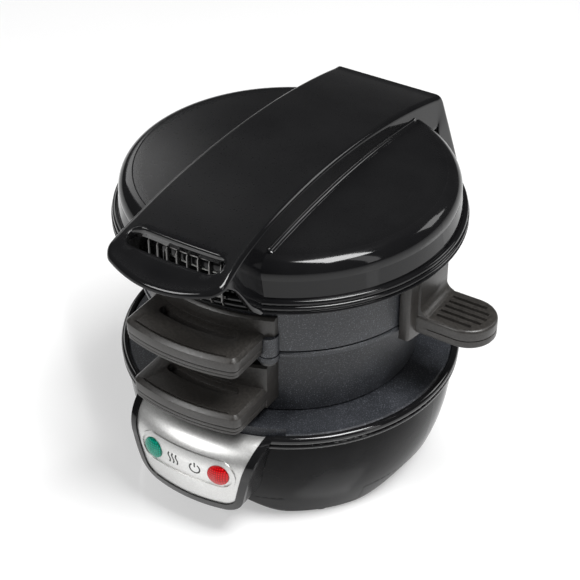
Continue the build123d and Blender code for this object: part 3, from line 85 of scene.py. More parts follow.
def area_light(name, at, target, size, power, size_y=None):
    """Soft lamp aimed at a point; square unless its other side is given."""
    data = bpy.data.lights.new(name, "AREA")
    data.shape = "RECTANGLE"
    data.size = size
    data.size_y = size_y or size
    data.energy = power
    light = bpy.data.objects.new(name, data)
    light.location = at
    bpy.context.scene.collection.objects.link(light)
    aim(light, target)


def world_light(strength):
    """Even white light from all round."""
    world = bpy.data.worlds.new("studio")
    world.use_nodes = True
    tree = world.node_tree
    tree.nodes["Background"].inputs["Color"].default_value = (1, 1, 1, 1)
    tree.nodes["Background"].inputs["Strength"].default_value = strength
    bpy.context.scene.world = world


# ------------------------------------------------------------------ materials
def shader(name):
    """New material with its node tree and its main shader."""
    mat = bpy.data.materials.new(name)
    mat.use_nodes = True
    tree = mat.node_tree
    return mat, tree, tree.nodes["Principled BSDF"]


def noise(tree, scale, detail=3.0):
    """Noise in object coordinates."""
    coords = tree.nodes.new("ShaderNodeTexCoord")
    tex = tree.nodes.new("ShaderNodeTexNoise")
    tex.inputs["Scale"].default_value = scale
    tex.inputs["Detail"].default_value = detail
    tex.inputs["Roughness"].default_value = 0.55
    tree.links.new(coords.outputs["Object"], tex.inputs["Vector"])
    return tex.outputs["Fac"]


def ramp(tree, value, stops):
    """Colour ramp from (position, colour) stops."""
    node = tree.nodes.new("ShaderNodeValToRGB")
    elements = node.color_ramp.elements
    while len(elements) < len(stops):
        elements.new(0.5)
    for element, (position, color) in zip(elements, stops):
        element.position = position
        element.color = (*color, 1.0)
    tree.links.new(value, node.inputs["Fac"])
    return node.outputs["Color"]


def spread(tree, value, low, high, from_low=0.3, from_high=0.7):
    """A value mapped to a range."""
    node = tree.nodes.new("ShaderNodeMapRange")
    node.inputs["From Min"].default_value = from_low
    node.inputs["From Max"].default_value = from_high
    node.inputs["To Min"].default_value = low
    node.inputs["To Max"].default_value = high
    tree.links.new(value, node.inputs["Value"])
    return node.outputs["Result"]


def bump(tree, bsdf, value, height, strength=1.0):
    """Fine relief of a height in metres."""
    node = tree.nodes.new("ShaderNodeBump")
    node.inputs["Strength"].default_value = strength
    node.inputs["Distance"].default_value = height
    tree.links.new(value, node.inputs["Height"])
    tree.links.new(node.outputs["Normal"], bsdf.inputs["Normal"])
    return node


def grained(name, dark, light, scale, rough, height=0.0, metallic=0.0, specular=0.5):
    """Mottled material: colour, roughness and a fine bump come from noise."""
    mat, tree, bsdf = shader(name)
    grain = noise(tree, scale)
    color = ramp(tree, grain, [(0.35, dark), (0.65, light)])
    tree.links.new(color, bsdf.inputs["Base Color"])
    tree.links.new(spread(tree, grain, rough[0], rough[1]), bsdf.inputs["Roughness"])
    bsdf.inputs["Metallic"].default_value = metallic
    bsdf.inputs["Specular IOR Level"].default_value = specular
    if height:
        bump(tree, bsdf, grain, height)
    return mat


def height_mask(tree, low, high):
    """0 below and 1 above a height in the frame, in metres."""
    coords = tree.nodes.new("ShaderNodeTexCoord")
    split = tree.nodes.new("ShaderNodeSeparateXYZ")
    tree.links.new(coords.outputs["Object"], split.inputs["Vector"])
    return spread(tree, split.outputs["Z"], 0.0, 1.0, low, high)


def facing(tree, axis, low, high, at_low=0.0, at_high=1.0):
    """A value that changes as a surface turns towards an axis."""
    geometry = tree.nodes.new("ShaderNodeNewGeometry")
    split = tree.nodes.new("ShaderNodeSeparateXYZ")
    tree.links.new(geometry.outputs["Normal"], split.inputs["Vector"])
    return spread(tree, split.outputs[axis], at_low, at_high, low, high)


def mixed(tree, factor, low, high):
    """Blend of two plain numbers or values."""
    mix = tree.nodes.new("ShaderNodeMix")
    mix.data_type = "FLOAT"
    tree.links.new(factor, mix.inputs[0])
    for socket, value in ((mix.inputs[2], low), (mix.inputs[3], high)):
        if isinstance(value, float):
            socket.default_value = value
        else:
            tree.links.new(value, socket)
    return mix.outputs[0]


def gloss_black(name, satin_mask=None, specular=0.5):
    """Moulded gloss black with very slight waviness; a mask turns areas to fine satin."""
    mat, tree, bsdf = shader(name)
    smear = noise(tree, 38.0, 2.0)
    color = ramp(tree, smear, [(0.3, (0.0045, 0.0045, 0.005)), (0.7, (0.0075, 0.0075, 0.008))])
    tree.links.new(color, bsdf.inputs["Base Color"])
    gloss = spread(tree, smear, 0.055, 0.10)
    bsdf.inputs["Specular IOR Level"].default_value = specular
    if satin_mask:
        mask = satin_mask(tree)
        grain = noise(tree, 1300.0, 2.0)
        satin = spread(tree, grain, 0.27, 0.35)
        tree.links.new(mixed(tree, mask, gloss, satin), bsdf.inputs["Roughness"])
        node = bump(tree, bsdf, grain, 0.00002, 0.3)
        tree.links.new(mixed(tree, mask, 0.0, 0.35), node.inputs["Strength"])
    else:
        tree.links.new(gloss, bsdf.inputs["Roughness"])
        bump(tree, bsdf, noise(tree, 55.0, 1.0), 0.00002, 0.25)
    return mat


def nonstick():
    """Dark blue-grey non-stick coating with fine light speckles."""
    mat, tree, bsdf = shader("nonstick")
    base = noise(tree, 120.0, 3.0)
    fleck = noise(tree, 2200.0, 2.0)
    body = ramp(tree, base, [(0.3, (0.014, 0.0155, 0.019)), (0.7, (0.022, 0.024, 0.029))])
    flecks = ramp(tree, fleck, [(0.56, (0, 0, 0)), (0.70, (0.10, 0.107, 0.12))])
    add = tree.nodes.new("ShaderNodeMix")
    add.data_type = "RGBA"
    add.blend_type = "ADD"
    add.inputs[0].default_value = 1.0
    tree.links.new(body, add.inputs[6])
    tree.links.new(flecks, add.inputs[7])
    tree.links.new(add.outputs[2], bsdf.inputs["Base Color"])
    tree.links.new(spread(tree, base, 0.36, 0.50), bsdf.inputs["Roughness"])
    bump(tree, bsdf, fleck, 0.00004, 0.4)
    return mat


def lens(name, deep, bright, lit):
    """Coloured lens, cross-ribbed and lit from behind."""
    mat, tree, bsdf = shader(name)
    coords = tree.nodes.new("ShaderNodeTexCoord")
    ribs = []
    for direction in ("X", "Z"):
        wave = tree.nodes.new("ShaderNodeTexWave")
        wave.bands_direction = direction
        wave.inputs["Scale"].default_value = 320.0
        wave.inputs["Distortion"].default_value = 0.6
        tree.links.new(coords.outputs["Object"], wave.inputs["Vector"])
        ribs.append(wave.outputs["Fac"])
    cross = tree.nodes.new("ShaderNodeMath")
    cross.operation = "MULTIPLY"
    tree.links.new(ribs[0], cross.inputs[0])
    tree.links.new(ribs[1], cross.inputs[1])
    color = ramp(tree, cross.outputs["Value"], [(0.05, deep), (0.75, bright)])
    tree.links.new(color, bsdf.inputs["Base Color"])
    tree.links.new(color, bsdf.inputs["Emission Color"])
    bsdf.inputs["Emission Strength"].default_value = lit
    tree.links.new(spread(tree, noise(tree, 90.0), 0.07, 0.11), bsdf.inputs["Roughness"])
    bsdf.inputs["Specular IOR Level"].default_value = 0.35
    bump(tree, bsdf, cross.outputs["Value"], 0.00006, 0.3)
    return mat


def fin_plastic_painted_highlight():
    """Gloss black fins whose faces turned to the front are painted a paler grey, a painted highlight."""
    mat, tree, bsdf = shader("fin_plastic_painted_highlight")
    # painted highlight: faces turned towards -Y get a paler base colour than the rest of the fin
    front = facing(tree, "Y", -0.95, -0.6, 1.0, 0.0)
    color = ramp(tree, front, [(0.2, (0.006, 0.006, 0.006)), (0.8, (0.16, 0.155, 0.15))])
    tree.links.new(color, bsdf.inputs["Base Color"])
    tree.links.new(spread(tree, noise(tree, 300.0), 0.16, 0.26), bsdf.inputs["Roughness"])
    return mat


GLOSS = gloss_black("gloss_black")
DOME = gloss_black("dome_black", lambda tree: height_mask(tree, 0.1364, 0.1380), 0.34)
STRAP = gloss_black("strap_black", lambda tree: facing(tree, "Z", 0.86, 0.96), 0.34)
NONSTICK = nonstick()
WALL = grained("satin_black", (0.004, 0.004, 0.0045), (0.007, 0.007, 0.0075), 60.0, (0.13, 0.19), 0.00001,
               specular=0.08)
PHENOLIC = grained("phenolic", (0.020, 0.0185, 0.017), (0.036, 0.033, 0.030), 1100.0, (0.30, 0.42), 0.00003)
SILVER = grained("silver_panel", (0.58, 0.58, 0.57), (0.66, 0.66, 0.65), 1600.0, (0.34, 0.42), 0.000006, 0.9)
GREEN = lens("green_lens", (0.0, 0.13, 0.085), (0.0, 0.31, 0.21), 0.25)
RED = lens("red_lens", (0.26, 0.001, 0.002), (0.62, 0.006, 0.010), 0.30)
INK = grained("panel_ink", (0.010, 0.010, 0.010), (0.018, 0.018, 0.018), 900.0, (0.45, 0.6), 0.000004)
FIN = fin_plastic_painted_highlight()
DARK_PIN = grained("dark_pin", (0.05, 0.05, 0.05), (0.09, 0.09, 0.09), 500.0, (0.35, 0.5), 0.00001, 0.9)
STEEL = grained("bright_steel", (0.42, 0.42, 0.42), (0.58, 0.58, 0.57), 500.0, (0.22, 0.36), 0.00001, 1.0)
SHIELD = grained("shield_sheet", (0.50, 0.50, 0.48), (0.68, 0.68, 0.66), 160.0, (0.34, 0.5), 0.00002, 0.95)
SHEATH = grained("element_sheath", (0.12, 0.10, 0.09), (0.26, 0.24, 0.24), 90.0, (0.4, 0.6), 0.00002, 0.8)
CERAMIC = grained("ceramic", (0.74, 0.72, 0.68), (0.86, 0.85, 0.82), 200.0, (0.25, 0.4), 0.00002)
GLASS = grained("lamp_glass", (0.75, 0.55, 0.4), (0.9, 0.75, 0.6), 200.0, (0.05, 0.1))
BRAID = grained("braid", (0.55, 0.50, 0.42), (0.80, 0.77, 0.70), 1400.0, (0.7, 0.9), 0.00008)
RUBBER = grained("rubber", (0.016, 0.016, 0.016), (0.026, 0.026, 0.026), 700.0, (0.7, 0.85), 0.00005)

BY_SLOT = {
    "satin_black_housing": WALL, "gloss_black_cover": GLOSS, "charcoal_phenolic": PHENOLIC,
    "silver_panel": SILVER, "green_lens": GREEN, "red_lens": RED, "lamp_glass": GLASS,
    "nonstick_casting": NONSTICK, "bright_steel": STEEL, "shield_sheet": SHIELD, "element_sheath": SHEATH,
    "white_ceramic": CERAMIC, "wire_sleeve": BRAID, "black_rubber": RUBBER,
}
SLOT_OF = {part["node"]: part["material_slot"] for part in frame["record"]["subparts"]}


def dress(obj, mat):
    """Give a node or piece its only material."""
    obj.data.materials.clear()
    obj.data.materials.append(mat)


for name, obj in frame["nodes"].items():
    dress(obj, BY_SLOT[SLOT_OF[name]])
dress(frame["nodes"]["cover_shell"], DOME)
dress(frame["nodes"]["plate_pivot_pin"], DARK_PIN)


# ------------------------------------------------------------------ making pieces
# distance in metres within which the seams of a new piece are merged
SEAM = 1e-7


def place(x, y, z):
    """A point in millimetres about the ring axis, in metres of the frame."""
    return Vector((RING_X + x * MM, RING_Y + y * MM, z * MM))


def around(r, angle, z):
    """A point at a radius and an angle from the front, turning towards +X."""
    return place(r * sin(angle), -r * cos(angle), z)


def surface_of(node):
    """A node's surface, to be felt with rays."""
    return BVHTree.FromObject(frame["nodes"][node], bpy.context.evaluated_depsgraph_get())


def sheet(bm, rows):
    """Grid of faces through rows of points that all have the same length."""
    made = bmesh.ops.create_grid(bm, x_segments=len(rows[0]) - 1, y_segments=len(rows) - 1, size=1.0)
    points = [point for row in rows for point in row]
    for vert, point in zip(made["verts"], points):
        vert.co = point


def tube(bm, ribs):
    """Grid of faces through closed ribs of points, open at both ends."""
    sheet(bm, [rib + rib[:1] for rib in ribs])


def sealed(bm):
    """Seams merged, open ends filled and faces turned outwards."""
    bmesh.ops.remove_doubles(bm, verts=bm.verts, dist=SEAM)
    bmesh.ops.holes_fill(bm, edges=[edge for edge in bm.edges if edge.is_boundary])
    bmesh.ops.recalc_face_normals(bm, faces=bm.faces)
    return bm


def smoothed(bm):
    """Smooth shading on the faces made so far."""
    for face in bm.faces:
        face.smooth = True
    return bm


def add_piece(name, bm, body, mat):
    """A finished form as a piece of the scene that rides on one of the part's bodies."""
    mesh = bpy.data.meshes.new(name)
    bm.to_mesh(mesh)
    bm.free()
    piece = bpy.data.objects.new(name, mesh)
    bpy.context.scene.collection.objects.link(piece)
    dress(piece, mat)
    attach(piece, body)
    return piece


def rounded(piece, width, segments, angle):
    """Round the edges of a piece that turn by more than an angle, in degrees."""
    edge = piece.modifiers.new("round", "BEVEL")
    edge.width = width * MM
    edge.segments = segments
    edge.limit_method = "ANGLE"
    edge.angle_limit = radians(angle)


def settle(piece):
    """Fix a piece's modifiers into its mesh."""
    seen = piece.evaluated_get(bpy.context.evaluated_depsgraph_get())
    mesh = bpy.data.meshes.new_from_object(seen)
    piece.modifiers.clear()
    piece.data = mesh


# ------------------------------------------------------------------ marks on the panel, in metres
INK_LIFT = 0.00003
IN_FRONT = -0.3
MARK_Z, MARK_LINE = 0.0377, 0.0007
HEAT_X, POWER_X = RING_X - 0.0054, RING_X + 0.0054
WAVE_GAP, WAVE_SWING, WAVE_HALF = 0.0019, 0.0005, 0.0026
WAVE_STEPS = 12
POWER_R, POWER_DROP = 0.0024, 0.0003
POWER_GAP, POWER_STEPS = 32.0, 24
TICK_STEP = 0.0006


def stroke(points):
    """Flat band along 2-D points, as pairs of edge points."""
    rails = []
    last = len(points) - 1
    for i, point in enumerate(points):
        along = (points[min(i + 1, last)] - points[max(i - 1, 0)]).normalized()
        side = Vector((-along.y, along.x)) * MARK_LINE / 2
        rails.append((point + side, point - side))
    return rails


def printed(name, bands):
    """Thin ink on the panel: bands in (x, z), laid on its surface along +Y."""
    panel = surface_of("control_panel")
    bm = bmesh.new()

    def laid(p, out):
        hit, normal, _, _ = panel.ray_cast(Vector((p.x, IN_FRONT, p.y)), Vector((0, 1, 0)))
        return hit + normal * out

    for rails in bands:
        ribs = []
        for a, b in rails:
            ribs.append([laid(a, INK_LIFT), laid(b, INK_LIFT), laid(b, -INK_LIFT), laid(a, -INK_LIFT)])
        tube(bm, ribs)
    add_piece(name, sealed(bm), "base", INK)


heat = []
for column in (-1, 0, 1):
    wave = []
    for i in range(WAVE_STEPS + 1):
        t = i / WAVE_STEPS
        x = HEAT_X + WAVE_GAP * column + WAVE_SWING * sin(2 * pi * t)
        wave.append(Vector((x, MARK_Z + WAVE_HALF * (2 * t - 1))))
    heat.append(stroke(wave))
printed("heat_mark", heat)

ring = []
for i in range(POWER_STEPS + 1):
    angle = radians(90 + POWER_GAP + (360 - 2 * POWER_GAP) * i / POWER_STEPS)
    ring.append(Vector((POWER_X + POWER_R * cos(angle), MARK_Z - POWER_DROP + POWER_R * sin(angle))))
tick = [Vector((POWER_X, MARK_Z + POWER_DROP + TICK_STEP * i)) for i in range(5)]
printed("power_mark", [stroke(ring), stroke(tick)])


# ------------------------------------------------------------------ strap
STRAP_LOW, STRAP_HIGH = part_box("cover_strap_handle")
LIP_Y = (STRAP_LOW.y - RING_Y) / MM
FOOT_Y = (STRAP_HIGH.y - RING_Y) / MM
FOOT_Z = STRAP_LOW.z / MM
CREST_Z = STRAP_HIGH.z / MM
CREST_Y, CREST_R = -13.2, 380.0
BROW_Y, BROW_R = -40.0, 206.0
STRAP_HALF, STRAP_DRAFT = 24.4, 0.18
STRAP_ROLL, ROLL_END = 2.3, 0.3
STRAP_SKIN = 1.8
STRAP_RIM = 0.45
LIP_BOW, LIP_CORNER, LIP_LENGTH = 6.6, 4.6, 24.0
DROOP_Y, DROOP = -78.0, 2.2
LEG_FRONT, BELLY_Z = 76.0, 126.4
# the bend from the top into the rear leg, as (y, z)
HIP = [(79.5, 139.2), (81.4, 138.9), (82.9, 137.7), (83.9, 135.8), (84.6, 133.2)]
# the lower edge of the sides: swept up to the lip, and hidden in the dome behind it, as (y, z)
SIDE_EDGE = [(-84.0, 136.9), (-81.5, 134.8), (-79.0, 131.3), (-76.8, 127.2), (-75.0, 123.8),
             (-73.4, 121.0), (-71.6, 118.9), (-69.0, 117.0), (-66.0, 116.5), (-62.0, 116.5),
             (-56.0, 134.0), (-50.0, 136.0), (50.0, 136.0), (58.0, BELLY_Z)]
CORNER_STEPS, FRONT_STEPS = 7, 14
LIP_ROWS, TOP_ROWS, LEG_ROWS = 6, 40, 6
ROLL_STEPS, WALL_ROWS = 5, 8


def strap_arc(y):
    """A long arc over the dome that goes over into a tighter one at the brow."""
    if y >= BROW_Y:
        return CREST_Z - CREST_R + (CREST_R ** 2 - (y - CREST_Y) ** 2) ** 0.5
    brow_z = strap_arc(BROW_Y)
    share = BROW_R / CREST_R
    y0 = BROW_Y + (CREST_Y - BROW_Y) * share
    z0 = brow_z + (CREST_Z - CREST_R - brow_z) * share
    return z0 + (BROW_R ** 2 - (y - y0) ** 2) ** 0.5


def strap_top(y):
    """Height of the strap's top, which droops a little more at the lip."""
    if y < DROOP_Y:
        return strap_arc(y) - DROOP * ((DROOP_Y - y) / (DROOP_Y - LIP_Y)) ** 2
    return strap_arc(y)


def strap_half(z):
    """Half width of the strap, wider lower down."""
    return STRAP_HALF + STRAP_DRAFT * (CREST_Z - z)


def between(value, stops):
    """Piecewise-straight curve through (place, height) stops."""
    for (a, low), (b, high) in zip(stops, stops[1:]):
        if value <= b:
            t = max(0.0, (value - a) / (b - a))
            return low + (high - low) * t
    return stops[-1][1]


def strap_edge(y):
    """Lower edge of the strap's sides at y."""
    if y < SIDE_EDGE[0][0]:
        return strap_top(y) - STRAP_ROLL - ROLL_END
    return between(y, SIDE_EDGE)


def lip_outline():
    """Front edge of the flat top, from the left side to the right, with outward normals."""
    half = strap_half(strap_top(LIP_Y + LIP_BOW))
    flat = half - LIP_CORNER
    xs = [-flat - LIP_CORNER * cos(pi / 2 * i / CORNER_STEPS) for i in range(CORNER_STEPS)]
    xs += [-flat + 2 * flat * i / FRONT_STEPS for i in range(FRONT_STEPS + 1)]
    xs += [flat + LIP_CORNER * sin(pi / 2 * (i + 1) / CORNER_STEPS) for i in range(CORNER_STEPS)]
    edge = []
    for x in xs:
        over = min(1.0, max(0.0, (abs(x) - flat) / LIP_CORNER))
        bow = LIP_BOW * (x / half) ** 2
        edge.append(Vector((x, LIP_Y + bow + LIP_CORNER * (1 - (1 - over * over) ** 0.5))))
    normals = [Vector((-1, 0))]
    for before, after in zip(edge, edge[2:]):
        along = after - before
        normals.append(Vector((along.y, -along.x)).normalized())
    normals.append(Vector((1, 0)))
    return [(point - normal * STRAP_ROLL, normal) for point, normal in zip(edge, normals)]


def strap_rows():
    """Rows of (x, y, z) across the strap's flat top, from the lip to the foot of the leg."""
    front = lip_outline()
    wide = front[-1][0].x
    back_y = LIP_Y + LIP_LENGTH
    back_half = strap_half(strap_top(back_y)) - STRAP_ROLL
    rows = []
    for k in range(LIP_ROWS + 1):
        t = k / LIP_ROWS
        row = []
        for point, _ in front:
            y = point.y + (back_y - point.y) * t
            end_x = point.x / wide * back_half
            row.append((point.x + (end_x - point.x) * t, y, strap_top(y)))
        rows.append(row)
    line = []
    for k in range(1, TOP_ROWS + 1):
        y = back_y + (HIP[0][0] - back_y) * k / TOP_ROWS
        line.append((y, strap_top(y)))
    line += HIP[1:]
    hip_y, hip_z = HIP[-1]
    for k in range(1, LEG_ROWS + 1):
        t = k / LEG_ROWS
        line.append((hip_y + (FOOT_Y - hip_y) * t, hip_z + (FOOT_Z - hip_z) * t))
    for y, z in line:
        half = strap_half(z) - STRAP_ROLL
        rows.append([(point.x / wide * half, y, z) for point, _ in front])
    return rows, [normal for _, normal in front]


def strap_wall(top, normal):
    """Points from the flat top over its rolled edge and down the side to the lower edge."""
    x, y, z = top
    if z < HIP[-1][1] + 0.01 or y > LEG_FRONT:
        low = Vector((0, LEG_FRONT, min(BELLY_Z, z)))
    else:
        low = Vector((0, y, strap_edge(y)))
    down = low - Vector((0, y, z))
    depth = max(down.length, STRAP_ROLL + ROLL_END)
    down.normalize()
    points = [top]
    for k in range(1, ROLL_STEPS + 1):
        a = pi / 2 * k / ROLL_STEPS
        out, drop = STRAP_ROLL * sin(a), STRAP_ROLL * (1 - cos(a))
        points.append(Vector((x + normal.x * out, y + normal.y * out, z)) + down * drop)
    edge = points[-1]
    for k in range(1, WALL_ROWS + 1):
        point = edge + down * (depth - STRAP_ROLL) * k / WALL_ROWS
        draft = STRAP_DRAFT * max(0.0, edge.z - point.z) * abs(normal.x)
        point.x += draft if normal.x > 0 else -draft
        points.append(point)
    return [place(*point) for point in points]


def strap_body():
    """Flat top and side walls of the strap and its leg, as a skin open below."""
    rows, normals = strap_rows()
    bm = bmesh.new()
    sheet(bm, [[place(*point) for point in row] for row in rows])
    path = [(row[0], Vector((-1, 0))) for row in rows[:0:-1]]
    path += zip(rows[0], normals)
    path += [(row[-1], Vector((1, 0))) for row in rows[1:]]
    sheet(bm, [strap_wall(top, normal) for top, normal in path])
    bmesh.ops.remove_doubles(bm, verts=bm.verts, dist=0.02 * MM)
    bmesh.ops.recalc_face_normals(bm, faces=bm.faces)
    bm.faces.ensure_lookup_table()
    if bm.faces[0].normal.z < 0:
        bmesh.ops.reverse_faces(bm, faces=bm.faces)
    return smoothed(bm)


# the steam slot, a shallow arc with round ends
SLOT_MID_Y, SLOT_R = -80.95, 420.0
SLOT_HALF_W, SLOT_HALF_L = 4.4, 21.4
SLOT_SIDE_STEPS, SLOT_END_STEPS = 24, 9
SLOT_DEPTH = 4.0
# its wall and rolled rim, as (distance outwards, depth below the strap's top)
SLOT_RIM = [(0.0, SLOT_DEPTH), (0.0, 0.45), (0.10, 0.12), (0.32, -0.04), (0.62, -0.05), (0.9, 0.05),
            (1.2, 0.5), (1.2, SLOT_DEPTH)]
CUT_GROW, CUT_REACH = 0.6, 20.0


def slot_outline(grow=0.0):
    """Outline of the slot in plan, as (point, outward normal)."""
    centre_y = SLOT_MID_Y + SLOT_R
    half_w = SLOT_HALF_W + grow
    end = (SLOT_HALF_L - SLOT_HALF_W) / SLOT_R
    outline = []
    for side, from_a, to_a in ((1, -end, end), (-1, end, -end)):
        for i in range(SLOT_SIDE_STEPS + 1):
            a = from_a + (to_a - from_a) * i / SLOT_SIDE_STEPS
            normal = Vector((sin(a), -cos(a))) * side
            mid = Vector((SLOT_R * sin(a), centre_y - SLOT_R * cos(a)))
            outline.append((mid + normal * half_w, normal))
        tip = Vector((SLOT_R * sin(to_a), centre_y - SLOT_R * cos(to_a)))
        start = outline[-1][1]
        for i in range(1, SLOT_END_STEPS):
            c, s = cos(pi * i / SLOT_END_STEPS), sin(pi * i / SLOT_END_STEPS)
            normal = Vector((start.x * c - start.y * s, start.x * s + start.y * c))
            outline.append((tip + normal * half_w, normal))
    return outline


def slot_sleeve():
    """Wall of the steam slot with a rolled rim that stands a little proud of the strap."""
    loops = []
    for point, normal in slot_outline():
        loop = []
        for out, drop in SLOT_RIM:
            p = point + normal * out
            loop.append(place(p.x, p.y, strap_top(p.y) - drop))
        loops.append(loop)
    bm = bmesh.new()
    tube(bm, loops + loops[:1])
    return smoothed(sealed(bm))


def slot_cutter():
    """Upright plug in the slot's outline, which cuts the slot and is then removed."""
    bm = bmesh.new()
    low = [bm.verts.new(place(p.x, p.y, CREST_Z - CUT_REACH)) for p, _ in slot_outline(CUT_GROW)]
    made = bmesh.ops.extrude_face_region(bm, geom=[bm.faces.new(low)])
    top = [item for item in made["geom"] if isinstance(item, bmesh.types.BMVert)]
    bmesh.ops.translate(bm, vec=(0, 0, 2 * CUT_REACH * MM), verts=top)
    bmesh.ops.recalc_face_normals(bm, faces=bm.faces)
    mesh = bpy.data.meshes.new("slot_cutter")
    bm.to_mesh(mesh)
    bm.free()
    cutter = bpy.data.objects.new("slot_cutter", mesh)
    bpy.context.scene.collection.objects.link(cutter)
    return cutter


strap = add_piece("strap", strap_body(), "cover", STRAP)
skin = strap.modifiers.new("skin", "SOLIDIFY")
skin.thickness = STRAP_SKIN * MM
skin.offset = -1.0
cutter = slot_cutter()
cut = strap.modifiers.new("slot", "BOOLEAN")
cut.operation = "DIFFERENCE"
cut.object = cutter
cut.solver = "EXACT"
rounded(strap, STRAP_RIM, segments=2, angle=50)
settle(strap)
bpy.data.objects.remove(cutter)
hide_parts("cover_strap_handle")
add_piece("strap_slot_wall", slot_sleeve(), "cover", GLOSS)


# ------------------------------------------------------------------ vent comb
COMB_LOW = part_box("steam_vent_comb")[0]
COMB_FRONT = -(COMB_LOW.y - RING_Y) / MM
FIN_COUNT, FIN_T, FIN_CORNER = 8, 0.8, 0.4
FIN_LOW, FIN_TOP = COMB_LOW.z / MM, 138.9
FIN_SPAN = radians(12.4)
FIN_ROOT = COMB_FRONT - 2.0
# height and depth of a fin's sections from the foot up
FIN_SECTIONS = [(FIN_LOW + 1.0, 1.0), (FIN_LOW + 4.0, 2.6), (FIN_TOP - 1.0, 2.6), (FIN_TOP, 2.0)]
RAIL_BACK, RAIL_FRONT = COMB_FRONT - 2.4, COMB_FRONT - 1.2
RAILS = [(FIN_LOW + 4.2, FIN_LOW + 5.4), (FIN_TOP - 0.9, FIN_TOP - 0.3)]
RAIL_SPAN, RAIL_STEPS = FIN_SPAN * 1.05, 20


def vent_comb():
    """Upright fins with rounded front edges on two curved rails, in front of the cover."""
    bm = bmesh.new()
    for i in range(FIN_COUNT):
        angle = FIN_SPAN * (2 * i / (FIN_COUNT - 1) - 1)
        ribs = []
        for z, depth in FIN_SECTIONS:
            rib = []
            for out, side in ((0.0, -1.0), (depth - FIN_CORNER, -1.0), (depth, -0.5), (depth, 0.5),
                              (depth - FIN_CORNER, 1.0), (0.0, 1.0)):
                across = Vector((cos(angle), sin(angle), 0)) * (side * FIN_T / 2 * MM)
                rib.append(around(FIN_ROOT + out, angle, z) + across)
            ribs.append(rib)
        tube(bm, ribs)
    sealed(bm)
    for low, high in RAILS:
        corners = ((RAIL_BACK, low), (RAIL_FRONT, low), (RAIL_FRONT, high), (RAIL_BACK, high))
        section = bm.faces.new([bm.verts.new(around(r, -RAIL_SPAN, z)) for r, z in corners])
        bmesh.ops.spin(bm, geom=[section], cent=place(0, 0, 0), axis=(0, 0, 1), angle=2 * RAIL_SPAN,
                       steps=RAIL_STEPS)
    bmesh.ops.recalc_face_normals(bm, faces=bm.faces)
    return bm


comb = add_piece("vent_comb", vent_comb(), "cover", FIN)
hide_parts("steam_vent_comb")


# ------------------------------------------------------------------ softened edges
# angles in degrees: facets that count as flat, and edges that still shade as sharp
FLAT_TURN, SHARP_TURN = 0.6, 34


def softened(node, body, mat, width):
    """A moulded piece with its node's form and rounded edges, in the node's place."""
    bm = bmesh.new()
    bm.from_mesh(frame["nodes"][node].data)
    bmesh.ops.remove_doubles(bm, verts=bm.verts, dist=0.004 * MM)
    bmesh.ops.dissolve_limit(bm, angle_limit=radians(FLAT_TURN), verts=bm.verts, edges=bm.edges)
    piece = add_piece(node + "_soft", bm, body, mat)
    rounded(piece, width, segments=3, angle=38)
    settle(piece)
    for face in piece.data.polygons:
        face.use_smooth = True
    piece.data.set_sharp_from_angle(angle=radians(SHARP_TURN))
    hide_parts(node)


softened("upper_ring_handle", "upper_ring_body", PHENOLIC, 0.9)
softened("lower_ring_handle", "lower_ring_body", PHENOLIC, 0.9)
softened("cooking_plate_handle", "cooking_plate_body", PHENOLIC, 0.7)


# ------------------------------------------------------------------ cove beside the strap
COVE_R, COVE_SINK, COVE_TUCK = 1.5, 0.5, 0.6
COVE_END, COVE_STEPS, COVE_ARC_STEPS = 58.0, 60, 5
COVE_MID_Z = 138.5


def strap_cove(side):
    """Small hollow curve that leads the strap's side into the dome."""
    dome = surface_of("cover_shell")
    ribs = []
    for k in range(COVE_STEPS + 1):
        y = COVE_END * (2 * k / COVE_STEPS - 1)
        hit, _, _, _ = dome.ray_cast(place(strap_half(COVE_MID_Z) + COVE_R, y, CREST_Z), Vector((0, 0, -1)))
        z = hit.z / MM
        x = strap_half(z + COVE_R)
        rib = [(x - COVE_TUCK, z - COVE_SINK), (x - COVE_TUCK, z + COVE_R - 0.1)]
        for i in range(COVE_ARC_STEPS + 1):
            a = pi / 2 * i / COVE_ARC_STEPS
            rib.append((x + COVE_R * (1 - cos(a)), z + COVE_R * (1 - sin(a)) + 0.02))
        rib.append((x + COVE_R, z - COVE_SINK))
        ribs.append([place(side * px, y, pz) for px, pz in rib])
    bm = bmesh.new()
    tube(bm, ribs)
    return sealed(smoothed(bm))


add_piece("strap_cove_right", strap_cove(side=1), "cover", GLOSS)
add_piece("strap_cove_left", strap_cove(side=-1), "cover", GLOSS)


# ------------------------------------------------------------------ foot webs
FOOT_ANGLES = (45.0, 135.0, 225.0, 315.0)
FOOT_HALF, FOOT_OVERLAP = 15.0, 0.4
FOOT_LOW, ARCH_TOP = 1.6, 14.2
WEB_SPAN, WEB_T, WEB_END, WEB_EDGE = 24.0, 2.2, 0.3, 0.3
WEB_STEPS, WEB_LEVELS = 14, 6
OUTSIDE = 200.0


def wall_curve():
    """The base wall over a foot as (height, radius), felt from outside."""
    housing = surface_of("base_housing")
    inwards = around(0, 0, 0) - around(1 / MM, radians(FOOT_ANGLES[0]), 0)
    curve = []
    for k in range(WEB_LEVELS + 1):
        z = FOOT_LOW + (ARCH_TOP - FOOT_LOW) * k / WEB_LEVELS
        hit, _, _, _ = housing.ray_cast(around(OUTSIDE, radians(FOOT_ANGLES[0]), z), inwards)
        curve.append((z, (hit - place(0, 0, z)).length / MM))
    return curve


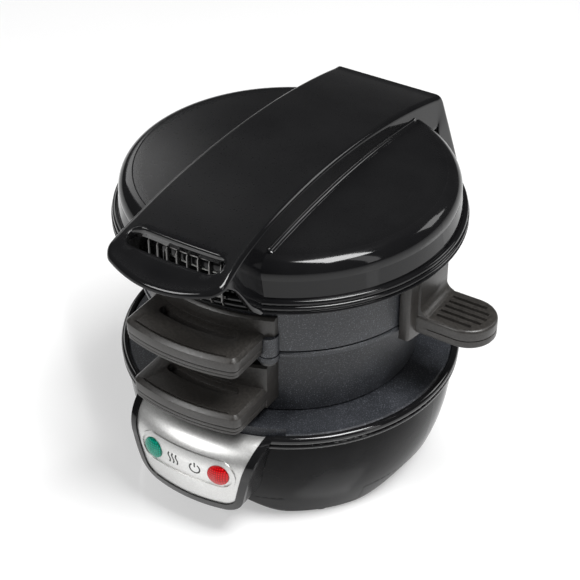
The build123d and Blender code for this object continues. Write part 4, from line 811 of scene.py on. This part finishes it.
def foot_webs():
    """Curved webs that lead the base wall from its arches down into the feet."""
    bm = bmesh.new()
    curve = wall_curve()
    for foot in FOOT_ANGLES:
        for side in (-1, 1):
            ribs = []
            for i in range(WEB_STEPS + 1):
                t = i / WEB_STEPS
                low = FOOT_LOW + (ARCH_TOP - FOOT_LOW - WEB_END) * t * t * (3 - 2 * t)
                angle = radians(foot + side * (FOOT_HALF - FOOT_OVERLAP + WEB_SPAN * t))
                outer, inner = [], []
                for k in range(WEB_LEVELS + 1):
                    z = low + (ARCH_TOP - low) * k / WEB_LEVELS
                    r = between(z, curve)
                    outer.append(around(r, angle, z))
                    inner.append(around(r - WEB_T, angle, z))
                ribs.append(outer + inner[::-1])
            tube(bm, ribs)
    return smoothed(sealed(bm))


webs = add_piece("foot_webs", foot_webs(), "base", WALL)
rounded(webs, WEB_EDGE, segments=2, angle=50)
settle(webs)


# ------------------------------------------------------------------ studio
FLOOR_SIZE, FLOOR_GLOW = 3.0, 0.40
floor_mat = grained("floor", (0.62, 0.62, 0.62), (0.64, 0.64, 0.64), 3.0, (0.07, 0.09))
glow = floor_mat.node_tree.nodes["Principled BSDF"]
glow.inputs["Emission Color"].default_value = (1, 1, 1, 1)
glow.inputs["Emission Strength"].default_value = FLOOR_GLOW
floor_form = bmesh.new()
bmesh.ops.create_grid(floor_form, x_segments=1, y_segments=1, size=FLOOR_SIZE)
floor_mesh = bpy.data.meshes.new("floor")
floor_form.to_mesh(floor_mesh)
floor_form.free()
floor = bpy.data.objects.new("floor", floor_mesh)
bpy.context.scene.collection.objects.link(floor)
dress(floor, floor_mat)

world_light(0.06)
area_light("overhead", (0.46, -0.08, 1.15), (0, 0, 0), 0.5, 17.0)
area_light("rear_right", (0.80, 1.00, 0.85), (0, 0, 0.1), 0.45, 2.6)
area_light("key", (-1.25, 0.70, 0.85), (0, 0, 0.08), 0.7, 3.5)
area_light("front_fill", (-0.55, -1.15, 0.95), (0, 0, 0.06), 0.5, 9.5)
area_light("right_strip", (1.15, -0.15, 0.75), (0, 0, 0.08), 0.2, 1.5, size_y=1.1)
